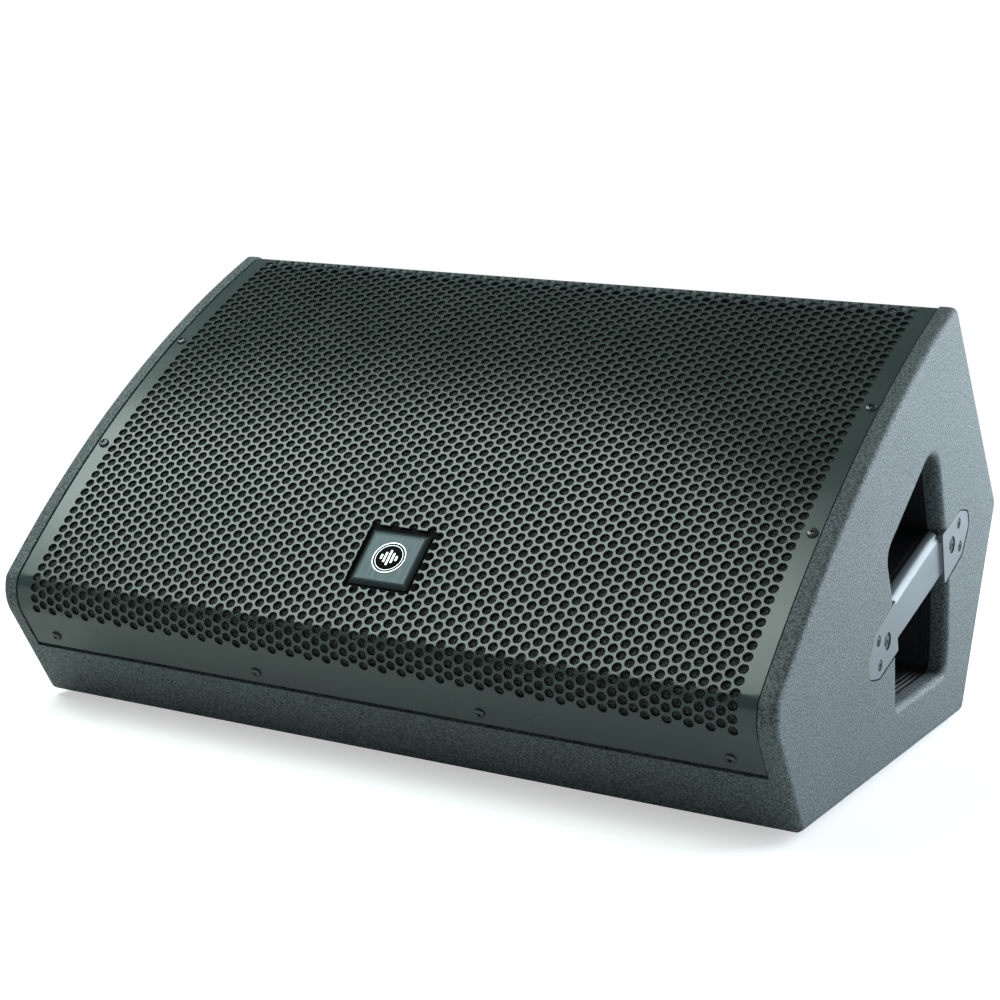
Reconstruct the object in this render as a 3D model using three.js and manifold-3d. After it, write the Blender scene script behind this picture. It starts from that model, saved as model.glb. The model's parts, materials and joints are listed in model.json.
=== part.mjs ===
// Stage monitor wedge: a low loudspeaker cabinet that lies on a stage and points up at a performer.
// Millimetres, +Z up, +X across the cabinet, +Y towards its rear. The origin is on the floor, under the
// middle of the cabinet's outer box. A 15 inch woofer sits behind the grille at -X, a horn at +X.

import * as THREE from 'three';
import { mergeVertices } from 'three/addons/utils/BufferGeometryUtils.js';
import Module from 'manifold-3d';

const wasm = await Module();
wasm.setup();

// ---------------------------------------------------------------- driving dimensions

const cabinetWidth = 710;
const boardThickness = 15;
const footHeight = 6;

// Corners of the side view, as (depth from the front bottom corner, height above the cabinet's underside).
const bottomFront = new THREE.Vector2(0, 0);
const nose = new THREE.Vector2(-67.7, 103);
const apex = new THREE.Vector2(297.7, 363.8);
const rearCorner = new THREE.Vector2(440.5, 178);
const bottomRear = new THREE.Vector2(379.5, 0);
const faceBulge = 25;
const noseRadius = 12;
const lowerBendRadius = 38;
const lowerBendStart = 97;
const cornerRadius = 8;
const edgeRounding = 6;

const glueGap = 0.01;
const turnedGap = 0.3;

const railFlushHeight = 58;
const shadowGrooveDepth = 7;
const grilleStart = 61;
const foamStart = 96.5;
const railTop = 108;
const grilleTopGap = 6;
const grilleRecess = 1;
const sheetThickness = 1.5;
const foamThickness = 4;
const grilleSideGap = 1.2;
const foamTopGap = 19;
const foamSideGap = 0.5;
const cleatWidth = 12;
const cleatThickness = 9.4;
const cornerSteps = 4;
const roundingSteps = 4;

const baffleDepth = 14;
const baffleThickness = 18;

const wooferX = -134;
const wooferFlangeRadius = 194;
const basketRadius = 179;
const coneRadius = 167.3;
const coilRadius = 52;

const hornX = 200;
const hornMouth = { halfWidth: 116, halfHeight: 76 };
const hornLength = 130;
const throatRadius = 13;
const portRadius = 30;
const portLength = 100;

const badgeWidth = 54.6;
const badgeHeight = 53;
const badgeX = 1.2;
const badgeDistance = 86;

const gripTilt = THREE.MathUtils.degToRad(17.6);
const gripCentre = new THREE.Vector2(244.5, 134.5);
const gripPlateThickness = 3.9;
const gripFaceDepth = 3.5;
const gripBackDepth = 36;
const cupDepth = 60;

const dishX = 190;
const dishDepth = 32;

// ---------------------------------------------------------------- solids

// A geometry as a closed solid that booleans can work on.
function solid(geometry) {
  const bare = geometry.clone();
  bare.deleteAttribute('normal');
  bare.deleteAttribute('uv');
  const merged = mergeVertices(bare, 1e-4);
  return new wasm.Manifold(new wasm.Mesh({
    numProp: 3,
    vertProperties: new Float32Array(merged.attributes.position.array),
    triVerts: new Uint32Array(merged.index.array),
  }));
}

function fromSolid(body) {
  const mesh = body.getMesh();
  const geometry = new THREE.BufferGeometry();
  geometry.setAttribute('position', new THREE.BufferAttribute(new Float32Array(mesh.vertProperties), 3));
  geometry.setIndex(new THREE.BufferAttribute(new Uint32Array(mesh.triVerts), 1));
  geometry.computeVertexNormals();
  return geometry;
}

function cut(geometry, ...tools) {
  const body = tools.reduce((rest, tool) => rest.subtract(solid(tool)), solid(geometry));
  return fromSolid(body);
}

function join(...geometries) {
  const body = geometries.slice(1).reduce((all, next) => all.add(solid(next)), solid(geometries[0]));
  return fromSolid(body);
}

function common(geometry, other) {
  return fromSolid(solid(geometry).intersect(solid(other)));
}

function box(width, depth, height, x = 0, y = 0, z = 0) {
  return new THREE.BoxGeometry(width, depth, height).translate(x, y, z);
}

// An upright cylinder between two heights.
function drum(radius, low, high, segments = 24, topRadius = radius) {
  const geometry = new THREE.CylinderGeometry(topRadius, radius, high - low, segments);
  return geometry.rotateX(Math.PI / 2).translate(0, 0, (low + high) / 2);
}

// A body of revolution about Z, from (radius, height) pairs that run counter-clockwise.
function turned(profile, segments = 24) {
  const points = profile.map(([radius, height]) => new THREE.Vector2(radius, height));
  const onAxis = profile[0][0] === 0;
  if (!onAxis) points.push(points[0].clone());
  return new THREE.LatheGeometry(points, segments).rotateX(Math.PI / 2);
}

// A closed strip of even thickness that follows a line of (radius, height) pairs.
function strip(line, thickness) {
  const half = thickness / 2;
  const sides = line.map(([radius, height], i) => {
    const before = line[Math.max(i - 1, 0)];
    const after = line[Math.min(i + 1, line.length - 1)];
    const length = Math.hypot(after[0] - before[0], after[1] - before[1]);
    const across = [-(after[1] - before[1]) / length * half, (after[0] - before[0]) / length * half];
    return {
      upper: [radius + across[0], height + across[1]],
      lower: [radius - across[0], height - across[1]],
    };
  });
  return [...sides.map((s) => s.lower), ...sides.map((s) => s.upper).reverse()];
}

// A closed skin through rings of equal point counts, each an array of Vector3, with flat ends.
function loft(rings) {
  const count = rings[0].length;
  const last = (rings.length - 1) * count;
  const positions = rings.flat().flatMap((p) => [p.x, p.y, p.z]);
  const index = [];
  for (let ring = 0; ring < rings.length - 1; ring += 1) {
    for (let i = 0; i < count; i += 1) {
      const a = ring * count + i;
      const b = ring * count + (i + 1) % count;
      index.push(a, b, b + count, a, b + count, a + count);
    }
  }
  const endTriangles = (ring) => (
    THREE.ShapeUtils.triangulateShape(ring.map((p) => new THREE.Vector2(p.x, p.y)), [])
  );
  endTriangles(rings[0]).forEach(([a, b, c]) => index.push(a, c, b));
  endTriangles(rings[rings.length - 1]).forEach(([a, b, c]) => index.push(last + a, last + b, last + c));
  const geometry = new THREE.BufferGeometry();
  geometry.setAttribute('position', new THREE.Float32BufferAttribute(positions, 3));
  geometry.setIndex(index);
  return geometry;
}

// A ring between a circle (power 2) and a rounded rectangle (higher powers), counter-clockwise.
function roundedRing(halfWidth, halfHeight, power, z, count = 24) {
  return Array.from({ length: count }, (_, i) => {
    const angle = (i + 0.5) / count * 2 * Math.PI;
    const bend = (value) => Math.sign(value) * Math.abs(value) ** (2 / power);
    return new THREE.Vector3(halfWidth * bend(Math.cos(angle)), halfHeight * bend(Math.sin(angle)), z);
  });
}

function plateShape(width, height, radius) {
  const x = width / 2;
  const y = height / 2;
  return roundedPath([[-x, -y, radius], [x, -y, radius], [x, y, radius], [-x, y, radius]]);
}

// ---------------------------------------------------------------- outlines of the side view

function along(from, to, distance) {
  return from.clone().add(to.clone().sub(from).setLength(distance));
}

function leftOf(from, to) {
  const step = to.clone().sub(from).normalize();
  return new THREE.Vector2(-step.y, step.x);
}

// The points of a corner rounded with an arc.
function roundedCorner(before, corner, after, radius, steps = cornerSteps) {
  const towardsBefore = before.clone().sub(corner).normalize();
  const towardsAfter = after.clone().sub(corner).normalize();
  const halfAngle = Math.acos(towardsBefore.dot(towardsAfter)) / 2;
  const centre = towardsBefore.clone().add(towardsAfter).setLength(radius / Math.sin(halfAngle)).add(corner);
  const first = towardsBefore.clone().multiplyScalar(radius / Math.tan(halfAngle)).add(corner).sub(centre);
  const last = towardsAfter.clone().multiplyScalar(radius / Math.tan(halfAngle)).add(corner).sub(centre);
  const sweep = Math.atan2(first.cross(last), first.dot(last));
  return Array.from({ length: steps + 1 }, (_, i) => (
    first.clone().rotateAround(new THREE.Vector2(), sweep * i / steps).add(centre)
  ));
}

// A closed outline from [y, z, radius] corners.
function roundedPath(corners) {
  const points = corners.map(([y, z]) => new THREE.Vector2(y, z));
  return corners.flatMap(([, , radius], i) => {
    if (!radius) return [points[i]];
    const before = points[(i + points.length - 1) % points.length];
    return roundedCorner(before, points[i], points[(i + 1) % points.length], radius);
  });
}

// A closed counter-clockwise outline grown by a distance.
function grown(outline, distance) {
  return outline.map((point, i) => {
    const before = outline[(i + outline.length - 1) % outline.length];
    const after = outline[(i + 1) % outline.length];
    const normalIn = leftOf(before, point);
    const normalOut = leftOf(point, after);
    const middle = normalIn.clone().add(normalOut).normalize();
    return point.clone().addScaledVector(middle, -distance / Math.max(middle.dot(normalIn), 0.5));
  });
}

const chordLength = nose.distanceTo(apex);
const faceRadius = chordLength ** 2 / (8 * faceBulge) + faceBulge / 2;
const faceInward = leftOf(apex, nose);
const faceCentre = nose.clone().add(apex).multiplyScalar(0.5)
  .addScaledVector(faceInward, faceRadius - faceBulge);

// Above the straight lower face the front turns in two arcs: a gentle bend, then the tight nose, which
// touches both the gentle bend and the bulging front face.
const lowerStep = nose.clone().normalize();
const lowerOutward = leftOf(bottomFront, nose);
const lowerBendCentre = lowerStep.clone().multiplyScalar(lowerBendStart)
  .addScaledVector(lowerOutward, -lowerBendRadius);
const noseCentre = (() => {
  const between = faceCentre.clone().sub(lowerBendCentre);
  const span = between.length();
  const fromBend = lowerBendRadius - noseRadius;
  const fromFace = faceRadius - noseRadius;
  const reach = (fromBend ** 2 - fromFace ** 2 + span ** 2) / (2 * span);
  const aside = Math.sqrt(fromBend ** 2 - reach ** 2);
  between.normalize();
  return lowerBendCentre.clone()
    .addScaledVector(between, reach)
    .addScaledVector(new THREE.Vector2(between.y, -between.x), aside);
})();

const lowerAngle = lowerOutward.angle();
const bendAngle = noseCentre.clone().sub(lowerBendCentre).angle();
const noseAngle = noseCentre.clone().sub(faceCentre).angle();
const noseCornerAngle = nose.clone().sub(faceCentre).angle();
const apexAngle = apex.clone().sub(faceCentre).angle();

function lowerPoint(distance, inset) {
  return lowerStep.clone().multiplyScalar(distance).addScaledVector(lowerOutward, -inset);
}

// A point of the gentle bend, at a distance up the front from the bottom corner.
function bendPoint(distance, inset) {
  const angle = lowerAngle - (distance - lowerBendStart) / lowerBendRadius;
  return new THREE.Vector2(Math.cos(angle), Math.sin(angle))
    .multiplyScalar(lowerBendRadius - inset).add(lowerBendCentre);
}

// A point on the front face, at a distance from the sharp nose corner along the arc.
function facePoint(distance, inset = 0) {
  const angle = noseCornerAngle - distance / faceRadius;
  const outward = new THREE.Vector2(Math.cos(angle), Math.sin(angle));
  return { angle, outward, point: faceCentre.clone().addScaledVector(outward, faceRadius - inset) };
}

const faceLength = (noseCornerAngle - apexAngle) * faceRadius;

function arcPoints(centre, radius, from, to, steps) {
  return Array.from({ length: steps + 1 }, (_, i) => {
    const angle = from + (to - from) * i / steps;
    return new THREE.Vector2(Math.cos(angle), Math.sin(angle)).multiplyScalar(radius).add(centre);
  });
}

// The front of the cabinet, from the lower face, round the nose and up the front face.
function frontPath(inset, start, topGap) {
  const top = apexAngle + topGap / faceRadius;
  return [
    lowerPoint(start, inset),
    ...arcPoints(lowerBendCentre, lowerBendRadius - inset, lowerAngle, bendAngle, 6),
    ...arcPoints(noseCentre, noseRadius - inset, bendAngle, noseAngle, 4).slice(1),
    ...arcPoints(faceCentre, faceRadius - inset, noseAngle, top, 14).slice(1),
  ];
}

// Outlines here run clockwise in (y, z), so they are reversed where a counter-clockwise one is needed.
const cabinetOutline = [
  ...frontPath(0, 20, 12),
  ...roundedCorner(facePoint(faceLength - 12).point, apex, rearCorner, 7.5),
  ...roundedCorner(apex, rearCorner, bottomRear, cornerRadius),
  ...roundedCorner(rearCorner, bottomRear, bottomFront, cornerRadius),
  ...roundedCorner(bottomRear, bottomFront, nose, cornerRadius),
].reverse();

const outlineYs = cabinetOutline.map((point) => point.x);
const middleY = (Math.min(...outlineYs) + Math.max(...outlineYs)) / 2;

// Turns (x, y, z) of a drawing into (z, x, y) of the cabinet: drawn outlines become side views.
const toSideView = new THREE.Matrix4().makeBasis(
  new THREE.Vector3(0, 1, 0), new THREE.Vector3(0, 0, 1), new THREE.Vector3(1, 0, 0));

// A side view outline stretched across the cabinet, from one x to another.
function across(outline, fromX, toX, holes = [], rounding = 0) {
  const shape = new THREE.Shape(outline);
  shape.holes = holes.map((hole) => new THREE.Path(hole));
  const geometry = new THREE.ExtrudeGeometry(shape, {
    depth: toX - fromX - 2 * rounding,
    bevelEnabled: rounding > 0,
    bevelThickness: rounding,
    bevelSize: rounding,
    bevelOffset: -rounding,
    bevelSegments: roundingSteps,
  });
  return geometry.translate(0, 0, fromX + rounding).applyMatrix4(toSideView);
}

function mirrored(geometry) {
  const copy = geometry.index ? geometry.clone() : mergeVertices(geometry);
  copy.scale(-1, 1, 1);
  const order = copy.index.array;
  for (let i = 0; i < order.length; i += 3) {
    [order[i], order[i + 1]] = [order[i + 1], order[i]];
  }
  return copy;
}

// ---------------------------------------------------------------- materials and groups

const finishes = {
  texturedPaint: { color: 0x70777a, roughness: 0.75, metalness: 0 },
  smoothPaint: { color: 0x6e7678, roughness: 0.5, metalness: 0.1 },
  grillePaint: { color: 0x3c4444, roughness: 0.45, metalness: 0.4 },
  foam: { color: 0x35352f, roughness: 1, metalness: 0 },
  plywood: { color: 0xb08a5a, roughness: 0.7, metalness: 0 },
  darkSteel: { color: 0x2a2c2e, roughness: 0.35, metalness: 0.8 },
  zinc: { color: 0x9a9c9e, roughness: 0.35, metalness: 0.9 },
  blackPlastic: { color: 0x141516, roughness: 0.5, metalness: 0 },
  rubber: { color: 0x1a1a1a, roughness: 0.9, metalness: 0 },
  paper: { color: 0x202020, roughness: 0.9, metalness: 0 },
  ferrite: { color: 0x303234, roughness: 0.7, metalness: 0.3 },
  circuit: { color: 0x1f4d2e, roughness: 0.6, metalness: 0 },
  amber: { color: 0x9c7a3a, roughness: 0.8, metalness: 0 },
  badgeMetal: { color: 0x53585c, roughness: 0.35, metalness: 0.9 },
};

function piece(name, geometry, finish) {
  const mesh = new THREE.Mesh(geometry, new THREE.MeshStandardMaterial(finishes[finish]));
  mesh.name = name;
  return mesh;
}

// A group with its own axes: Z leaves a face of the cabinet, Y runs up that face.
function faceGroup(origin, upward, outward) {
  const up = new THREE.Vector3(0, upward.x, upward.y);
  const out = new THREE.Vector3(0, outward.x, outward.y);
  const group = new THREE.Group();
  group.quaternion.setFromRotationMatrix(new THREE.Matrix4().makeBasis(up.clone().cross(out), up, out));
  group.position.set(0, origin.x, origin.y);
  return group;
}

const wedge = new THREE.Group();
const cabinet = new THREE.Group();
cabinet.position.set(0, -middleY, footHeight);
wedge.add(cabinet);

const innerX = cabinetWidth / 2 - boardThickness;
const boardX = innerX - glueGap;

// ---------------------------------------------------------------- screws

// A pan head screw with a cross recess. Its head rests on z = 0.
function screw({ head, shank, length }) {
  const headHeight = head * 0.5;
  const body = turned([
    [0, -length],
    [shank, -length],
    [shank, 0],
    [head, 0],
    [head * 0.8, headHeight],
    [0, headHeight],
  ], 10);
  const slot = head * 0.3;
  const reach = head * 1.1;
  const depth = headHeight * 1.2;
  return cut(body, box(reach, slot, depth, 0, 0, headHeight), box(slot, reach, depth, 0, 0, headHeight));
}

// The room a screw's shank needs in the boards and sheets it passes through.
function shankHole({ shank, length }) {
  return drum(shank + turnedGap, -length - turnedGap, 8, 8);
}

const grilleScrew = { head: 4.55, shank: 2, length: 9 };
const gripScrew = { head: 4.3, shank: 2.2, length: 12 };
const dishScrew = { head: 3.5, shank: 1.6, length: 12 };

// ---------------------------------------------------------------- grille and its screws

const sheetBack = grilleRecess + sheetThickness;
const foamFront = sheetBack + turnedGap;
const foamBack = foamFront + foamThickness;

const lowerScrewDistance = 73.8;
const lowerScrewXs = [-312.8, -104.4, 104.4, 312.8];
const sideScrewX = cabinetWidth / 2 - 22.6;
const sideScrewDistances = [163, 301];

// Each place holds a screw's point on the sheet and the way its head faces.
const grilleScrewPlaces = [
  ...lowerScrewXs.map((x) => (
    { x, point: lowerPoint(lowerScrewDistance, grilleRecess), outward: lowerOutward }
  )),
  ...[-sideScrewX, sideScrewX].flatMap((x) => (
    sideScrewDistances.map((distance) => ({ x, ...facePoint(distance, grilleRecess) }))
  )),
];

function placeOnFace(object, place, lift = 0) {
  const outward = new THREE.Vector3(0, place.outward.x, place.outward.y);
  object.quaternion.setFromUnitVectors(new THREE.Vector3(0, 0, 1), outward);
  object.position.set(place.x, place.point.x, place.point.y).addScaledVector(outward, lift);
  object.updateMatrix();
  return object;
}

function holeAt(place, spec) {
  const marker = placeOnFace(new THREE.Object3D(), place);
  return shankHole(spec).applyMatrix4(marker.matrix);
}

const grilleHoles = grilleScrewPlaces.map((place) => holeAt(place, grilleScrew));

function sheetOutline(outerInset, innerInset, start, topGap) {
  const outer = frontPath(outerInset, start, topGap);
  const inner = frontPath(innerInset, start, topGap);
  return [...outer, ...inner.reverse()].reverse();
}

const badgePlace = facePoint(badgeDistance, grilleRecess);
const badgeGroup = faceGroup(
  badgePlace.point, leftOf(badgePlace.outward, new THREE.Vector2()), badgePlace.outward);
badgeGroup.position.x = badgeX;
badgeGroup.updateMatrix();

function badgeTool(width, low, high, bottom, top) {
  return box(width, top - bottom, high - low, 0, (bottom + top) / 2, (low + high) / 2)
    .applyMatrix4(badgeGroup.matrix);
}

const badgeGap = 3.3;
const badgeTopGap = 4.5;
const badgeHalf = badgeHeight / 2;
const carrierMargin = 4;
const carrierThickness = 1.6;
const carrierFront = -sheetThickness - 1.2;

function grille() {
  const sheet = across(
    sheetOutline(grilleRecess, sheetBack, grilleStart, grilleTopGap),
    -innerX + grilleSideGap, innerX - grilleSideGap);
  const window = badgeTool(badgeWidth + 2 * badgeGap, -6, 6, -badgeHalf - badgeGap, badgeHalf + badgeTopGap);
  return cut(sheet, window, ...grilleHoles);
}

function grilleFoam() {
  const halfWidth = innerX - cleatWidth - foamSideGap;
  const pad = across(sheetOutline(foamFront, foamBack, foamStart, foamTopGap), -halfWidth, halfWidth);
  const margin = badgeGap + carrierMargin + 1;
  const window = badgeTool(
    badgeWidth + 2 * margin, -12, 6, -badgeHalf - margin, badgeHalf + badgeTopGap + carrierMargin + 1);
  return cut(pad, window);
}

cabinet.add(piece('grille', grille(), 'grillePaint'));
cabinet.add(piece('grille_foam', grilleFoam(), 'foam'));

grilleScrewPlaces.forEach((place, i) => {
  const mesh = piece(`grille_screw_${i + 1}`, screw(grilleScrew), 'darkSteel');
  cabinet.add(placeOnFace(mesh, place, turnedGap / 2));
});

// The carrier is a black plate behind the grille's window; the badge stands on it.
function badgeCarrier() {
  const bottom = -badgeHalf - badgeGap - carrierMargin;
  const top = badgeHalf + badgeTopGap + carrierMargin;
  const width = badgeWidth + 2 * (badgeGap + carrierMargin);
  return box(
    width, top - bottom, carrierThickness, 0, (top + bottom) / 2, carrierFront - carrierThickness / 2);
}

// A pillow-shaped plate whose rim sits below the sheet: a wide bevel round a gently crowned face.
function badge() {
  const bevel = 4.5;
  const ring = (inset, height) => roundedRing(badgeWidth / 2 - inset, badgeHalf - inset, 14, height);
  return loft([
    ring(0, carrierFront + turnedGap),
    ring(0, -1.4),
    ring(bevel * 0.5, 0.1),
    ring(bevel, 0.8),
    ring(bevel + 0.6, 0.5),
    ring(bevel * 3, 1.1),
  ]);
}

badgeGroup.add(piece('badge_carrier', badgeCarrier(), 'blackPlastic'));
badgeGroup.add(piece('badge', badge(), 'badgeMetal'));
cabinet.add(badgeGroup);

// ---------------------------------------------------------------- cabinet boards

// The mitre of two boards: the rounded outer corner split in half, and the inner corner.
function mitre(before, corner, after) {
  const arc = roundedCorner(before, corner, after, cornerRadius);
  const half = (arc.length - 1) / 2;
  const towardsBefore = before.clone().sub(corner).normalize();
  const towardsAfter = after.clone().sub(corner).normalize();
  const inwards = towardsBefore.clone().add(towardsAfter)
    .setLength(boardThickness / Math.sin(towardsBefore.angleTo(towardsAfter) / 2));
  return { first: arc.slice(0, half + 1), second: arc.slice(half), inner: corner.clone().add(inwards) };
}

// Moves a board's end back by the glue line so that neighbours meet without overlapping.
function shortened(points, step) {
  return points.map((point) => point.clone().addScaledVector(step, glueGap));
}

const frontMitre = mitre(nose, bottomFront, bottomRear);
const rearMitre = mitre(bottomFront, bottomRear, rearCorner);
const backMitre = mitre(bottomRear, rearCorner, apex);

function boardBetween(start, end, from, to) {
  const step = to.clone().sub(from).normalize();
  const back = step.clone().negate();
  return [
    ...shortened(start.second, step),
    ...shortened(end.first, back),
    ...shortened([end.inner], back),
    ...shortened([start.inner], step),
  ];
}

const bottomOutline = boardBetween(frontMitre, rearMitre, bottomFront, bottomRear);
const rearLowerOutline = boardBetween(rearMitre, backMitre, bottomRear, rearCorner);

const apexCut = 3.2;
const rearStep = apex.clone().sub(rearCorner).normalize();
const rearUpperOutline = [
  ...shortened(backMitre.second, rearStep),
  along(apex, rearCorner, apexCut + 1.5),
  along(apex, rearCorner, apexCut).add(leftOf(rearCorner, apex).multiplyScalar(1.5)),
  facePoint(faceLength - boardThickness, apexCut).point,
  ...shortened([backMitre.inner], rearStep),
];

const railStepDepth = sheetBack + turnedGap;
const foamStepDepth = foamBack + turnedGap;
const railOutline = [
  ...shortened(frontMitre.first, lowerStep).reverse(),
  lowerPoint(railFlushHeight, 0),
  lowerPoint(railFlushHeight, shadowGrooveDepth),
  lowerPoint(grilleStart + 0.5, shadowGrooveDepth),
  lowerPoint(grilleStart + 0.5, railStepDepth),
  lowerPoint(foamStart - 1, railStepDepth),
  lowerPoint(foamStart - 1, foamStepDepth),
  lowerPoint(lowerBendStart, foamStepDepth),
  bendPoint((lowerBendStart + railTop) / 2, foamStepDepth),
  bendPoint(railTop, foamStepDepth),
  bendPoint(railTop, boardThickness),
  lowerPoint(lowerBendStart, boardThickness),
  ...shortened([frontMitre.inner], lowerStep),
].reverse();

cabinet.add(piece('bottom_panel', across(bottomOutline, -boardX, boardX), 'texturedPaint'));
cabinet.add(piece('front_rail', cut(across(railOutline, -boardX, boardX), ...grilleHoles), 'texturedPaint'));
cabinet.add(piece('rear_upper_panel', across(rearUpperOutline, -boardX, boardX), 'texturedPaint'));

// ---------------------------------------------------------------- handles

// The hand opening in each side panel, at the inside of its rounded edge.
const openingOutline = roundedPath([
  [200, 46, 8],
  [323, 47, 10],
  [322, 80, 60],
  [315, 126, 80],
  [296, 178, 60],
  [261, 257, 22],
  [158, 181, 12],
  [176, 146, 30],
  [190, 102, 60],
]);

// A point of the side view, given along and up from the middle of the tilted grip.
function onGrip(along, up) {
  return new THREE.Vector2(along, up).rotateAround(new THREE.Vector2(), gripTilt).add(gripCentre);
}

// The front plate's corners along and up from the grip's middle, counter-clockwise, with their radii.
// The rear plate is the same, turned half a turn about the grip's middle.
const plateCorners = [
  [-58, 24, 1],
  [-103, 20, 14],
  [-124, 2, 9],
  [-122, -12, 7],
  [-103, -22, 12],
  [-58, -22, 1],
];
const plateScrews = [
  { along: -99, up: 10 },
  { along: -99, up: -12 },
  { along: -80, up: -1, wide: true },
];
const turns = [1, -1];
const plateOutlines = turns.map((turn) => roundedPath(plateCorners.map(([along, up, radius]) => (
  [...onGrip(turn * along, turn * up), radius]
))));
const gripScrewPlaces = turns.flatMap((turn) => plateScrews.map(({ along, up, wide }) => {
  const [y, z] = onGrip(turn * along, turn * up);
  return { y, z, wide };
}));
const gripScrewSunk = 2.2;
const gripLift = 0.4;
const pocketGap = 1.2;
const outerX = cabinetWidth / 2;

// Everything on a side panel is made for the +X side, at a depth below the panel's outer face.
const atDepth = (depth) => outerX - depth;

function sidePanel() {
  const board = across(cabinetOutline, outerX - 2 * boardThickness, outerX, [openingOutline], edgeRounding);
  const offcut = box(boardThickness + 1, 900, 900, innerX - (boardThickness + 1) / 2, 200, 200);
  const cleatPath = (inset) => arcPoints(
    faceCentre, faceRadius - inset, facePoint(30).angle, facePoint(faceLength - 18).angle, 12);
  const cleat = across(
    [...cleatPath(railStepDepth), ...cleatPath(railStepDepth + cleatThickness).reverse()].reverse(),
    innerX - cleatWidth, innerX + 1);
  const pockets = plateOutlines.map((outline) => (
    across(grown(outline, pocketGap), atDepth(gripLift + gripPlateThickness + turnedGap), outerX + 1)
  ));
  const screwHoles = gripScrewPlaces.map(({ y, z }) => (
    drum(gripScrew.shank + turnedGap, -30, 5, 8).rotateY(Math.PI / 2).translate(outerX, y, z)
  ));
  return cut(join(cut(board, offcut), cleat), ...pockets, ...screwHoles, ...grilleHoles);
}

// A moulded tray behind the opening, with shallow steps round its mouth and a drafted wall.
function handleCup() {
  const mouth = boardThickness + 0.1;
  const ring = (depth, growth) => (
    grown(openingOutline, growth).map((point) => new THREE.Vector3(point.x, point.y, -depth))
  );
  const outside = loft([
    ring(cupDepth, -2), ring(mouth + 3, 3), ring(mouth + 3, 12), ring(mouth, 12)]);
  const inside = loft([
    ring(cupDepth - 3, -5), ring(mouth + 11, -2), ring(mouth + 11, -1.4), ring(mouth + 7, -1.4),
    ring(mouth + 7, -0.7), ring(mouth + 3.5, -0.7), ring(mouth + 3.5, 0), ring(mouth - 1, 0)]);
  return cut(outside, inside).applyMatrix4(toSideView).translate(outerX, 0, 0);
}

// A channel section bar between two screwed plates. Local X runs along the bar, Y up across it.
function handleGrip() {
  const halfFace = 15;
  const topRadius = 9;
  const wall = 4;
  const topEdge = halfFace + topRadius;
  const bottomEdge = -halfFace - 3;
  const section = roundedPath([
    [bottomEdge, -gripBackDepth, 3],
    [topEdge, -gripBackDepth, 3],
    [topEdge, -gripFaceDepth, topRadius],
    [bottomEdge, -gripFaceDepth, 3],
  ]);
  const barLength = 180;
  const cutLength = barLength + 20;
  const bar = across(section, -barLength / 2, barLength / 2);
  const channelTop = -gripFaceDepth - wall;
  const channel = box(cutLength, 2 * halfFace, gripBackDepth, 0, 2, channelTop - gripBackDepth / 2);
  const groove = box(cutLength, 0.8, 1.2, 0, topEdge - 0.2, -gripFaceDepth - topRadius - 4);
  const faceEnds = 60;
  const ramp = 5;
  const web = new THREE.ExtrudeGeometry(new THREE.Shape([
    new THREE.Vector2(-faceEnds - 8, -gripLift),
    new THREE.Vector2(-faceEnds - 8, -gripFaceDepth - 1),
    new THREE.Vector2(faceEnds + 8, -gripFaceDepth - 1),
    new THREE.Vector2(faceEnds + 8, -gripLift),
    new THREE.Vector2(faceEnds, -gripLift),
    new THREE.Vector2(faceEnds - ramp, -gripFaceDepth - 0.5),
    new THREE.Vector2(-faceEnds + ramp, -gripFaceDepth - 0.5),
    new THREE.Vector2(-faceEnds, -gripLift),
  ]), { depth: 2 * halfFace, bevelEnabled: false }).translate(0, 0, -halfFace).rotateX(Math.PI / 2);
  const toPanel = new THREE.Matrix4().makeBasis(
    new THREE.Vector3(0, Math.cos(gripTilt), Math.sin(gripTilt)),
    new THREE.Vector3(0, -Math.sin(gripTilt), Math.cos(gripTilt)),
    new THREE.Vector3(1, 0, 0)).setPosition(outerX, gripCentre.x, gripCentre.y);
  const openingCore = (gap) => across(grown(openingOutline, -gap), atDepth(cupDepth), outerX + 1);
  const hollowBar = common(cut(bar, channel, groove).applyMatrix4(toPanel), openingCore(4));
  const frontWeb = common(web.applyMatrix4(toPanel), openingCore(turnedGap));
  const plates = plateOutlines.map((outline) => (
    across(outline, atDepth(gripLift + gripPlateThickness), atDepth(gripLift))
  ));
  const screwRooms = gripScrewPlaces.flatMap(({ y, z, wide }) => {
    const place = (geometry) => geometry.rotateY(Math.PI / 2).translate(atDepth(gripLift), y, z);
    const rooms = [
      place(drum(gripScrew.shank + turnedGap, -10, 2, 8)),
      place(drum(gripScrew.head + 0.5, -gripScrewSunk, 2, 14)),
    ];
    if (wide) rooms.push(place(drum(7.5, -1.4, 2, 18)));
    return rooms;
  });
  return cut(join(hollowBar, frontWeb, ...plates), ...screwRooms);
}

[
  ['side_panel', sidePanel(), 'texturedPaint'],
  ['handle_cup', handleCup(), 'blackPlastic'],
  ['handle_grip', handleGrip(), 'smoothPaint'],
].forEach(([name, geometry, finish]) => {
  cabinet.add(piece(`${name}_right`, geometry, finish));
  cabinet.add(piece(`${name}_left`, mirrored(geometry), finish));
});

[['right', 1], ['left', -1]].forEach(([side, sign]) => {
  gripScrewPlaces.forEach(({ y, z }, i) => {
    const mesh = piece(`grip_screw_${side}_${i + 1}`, screw(gripScrew), 'darkSteel');
    mesh.rotation.y = sign * Math.PI / 2;
    mesh.position.set(sign * (outerX - gripLift - gripScrewSunk + turnedGap / 2), y, z);
    cabinet.add(mesh);
  });
});

// ---------------------------------------------------------------- baffle and what it carries

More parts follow.
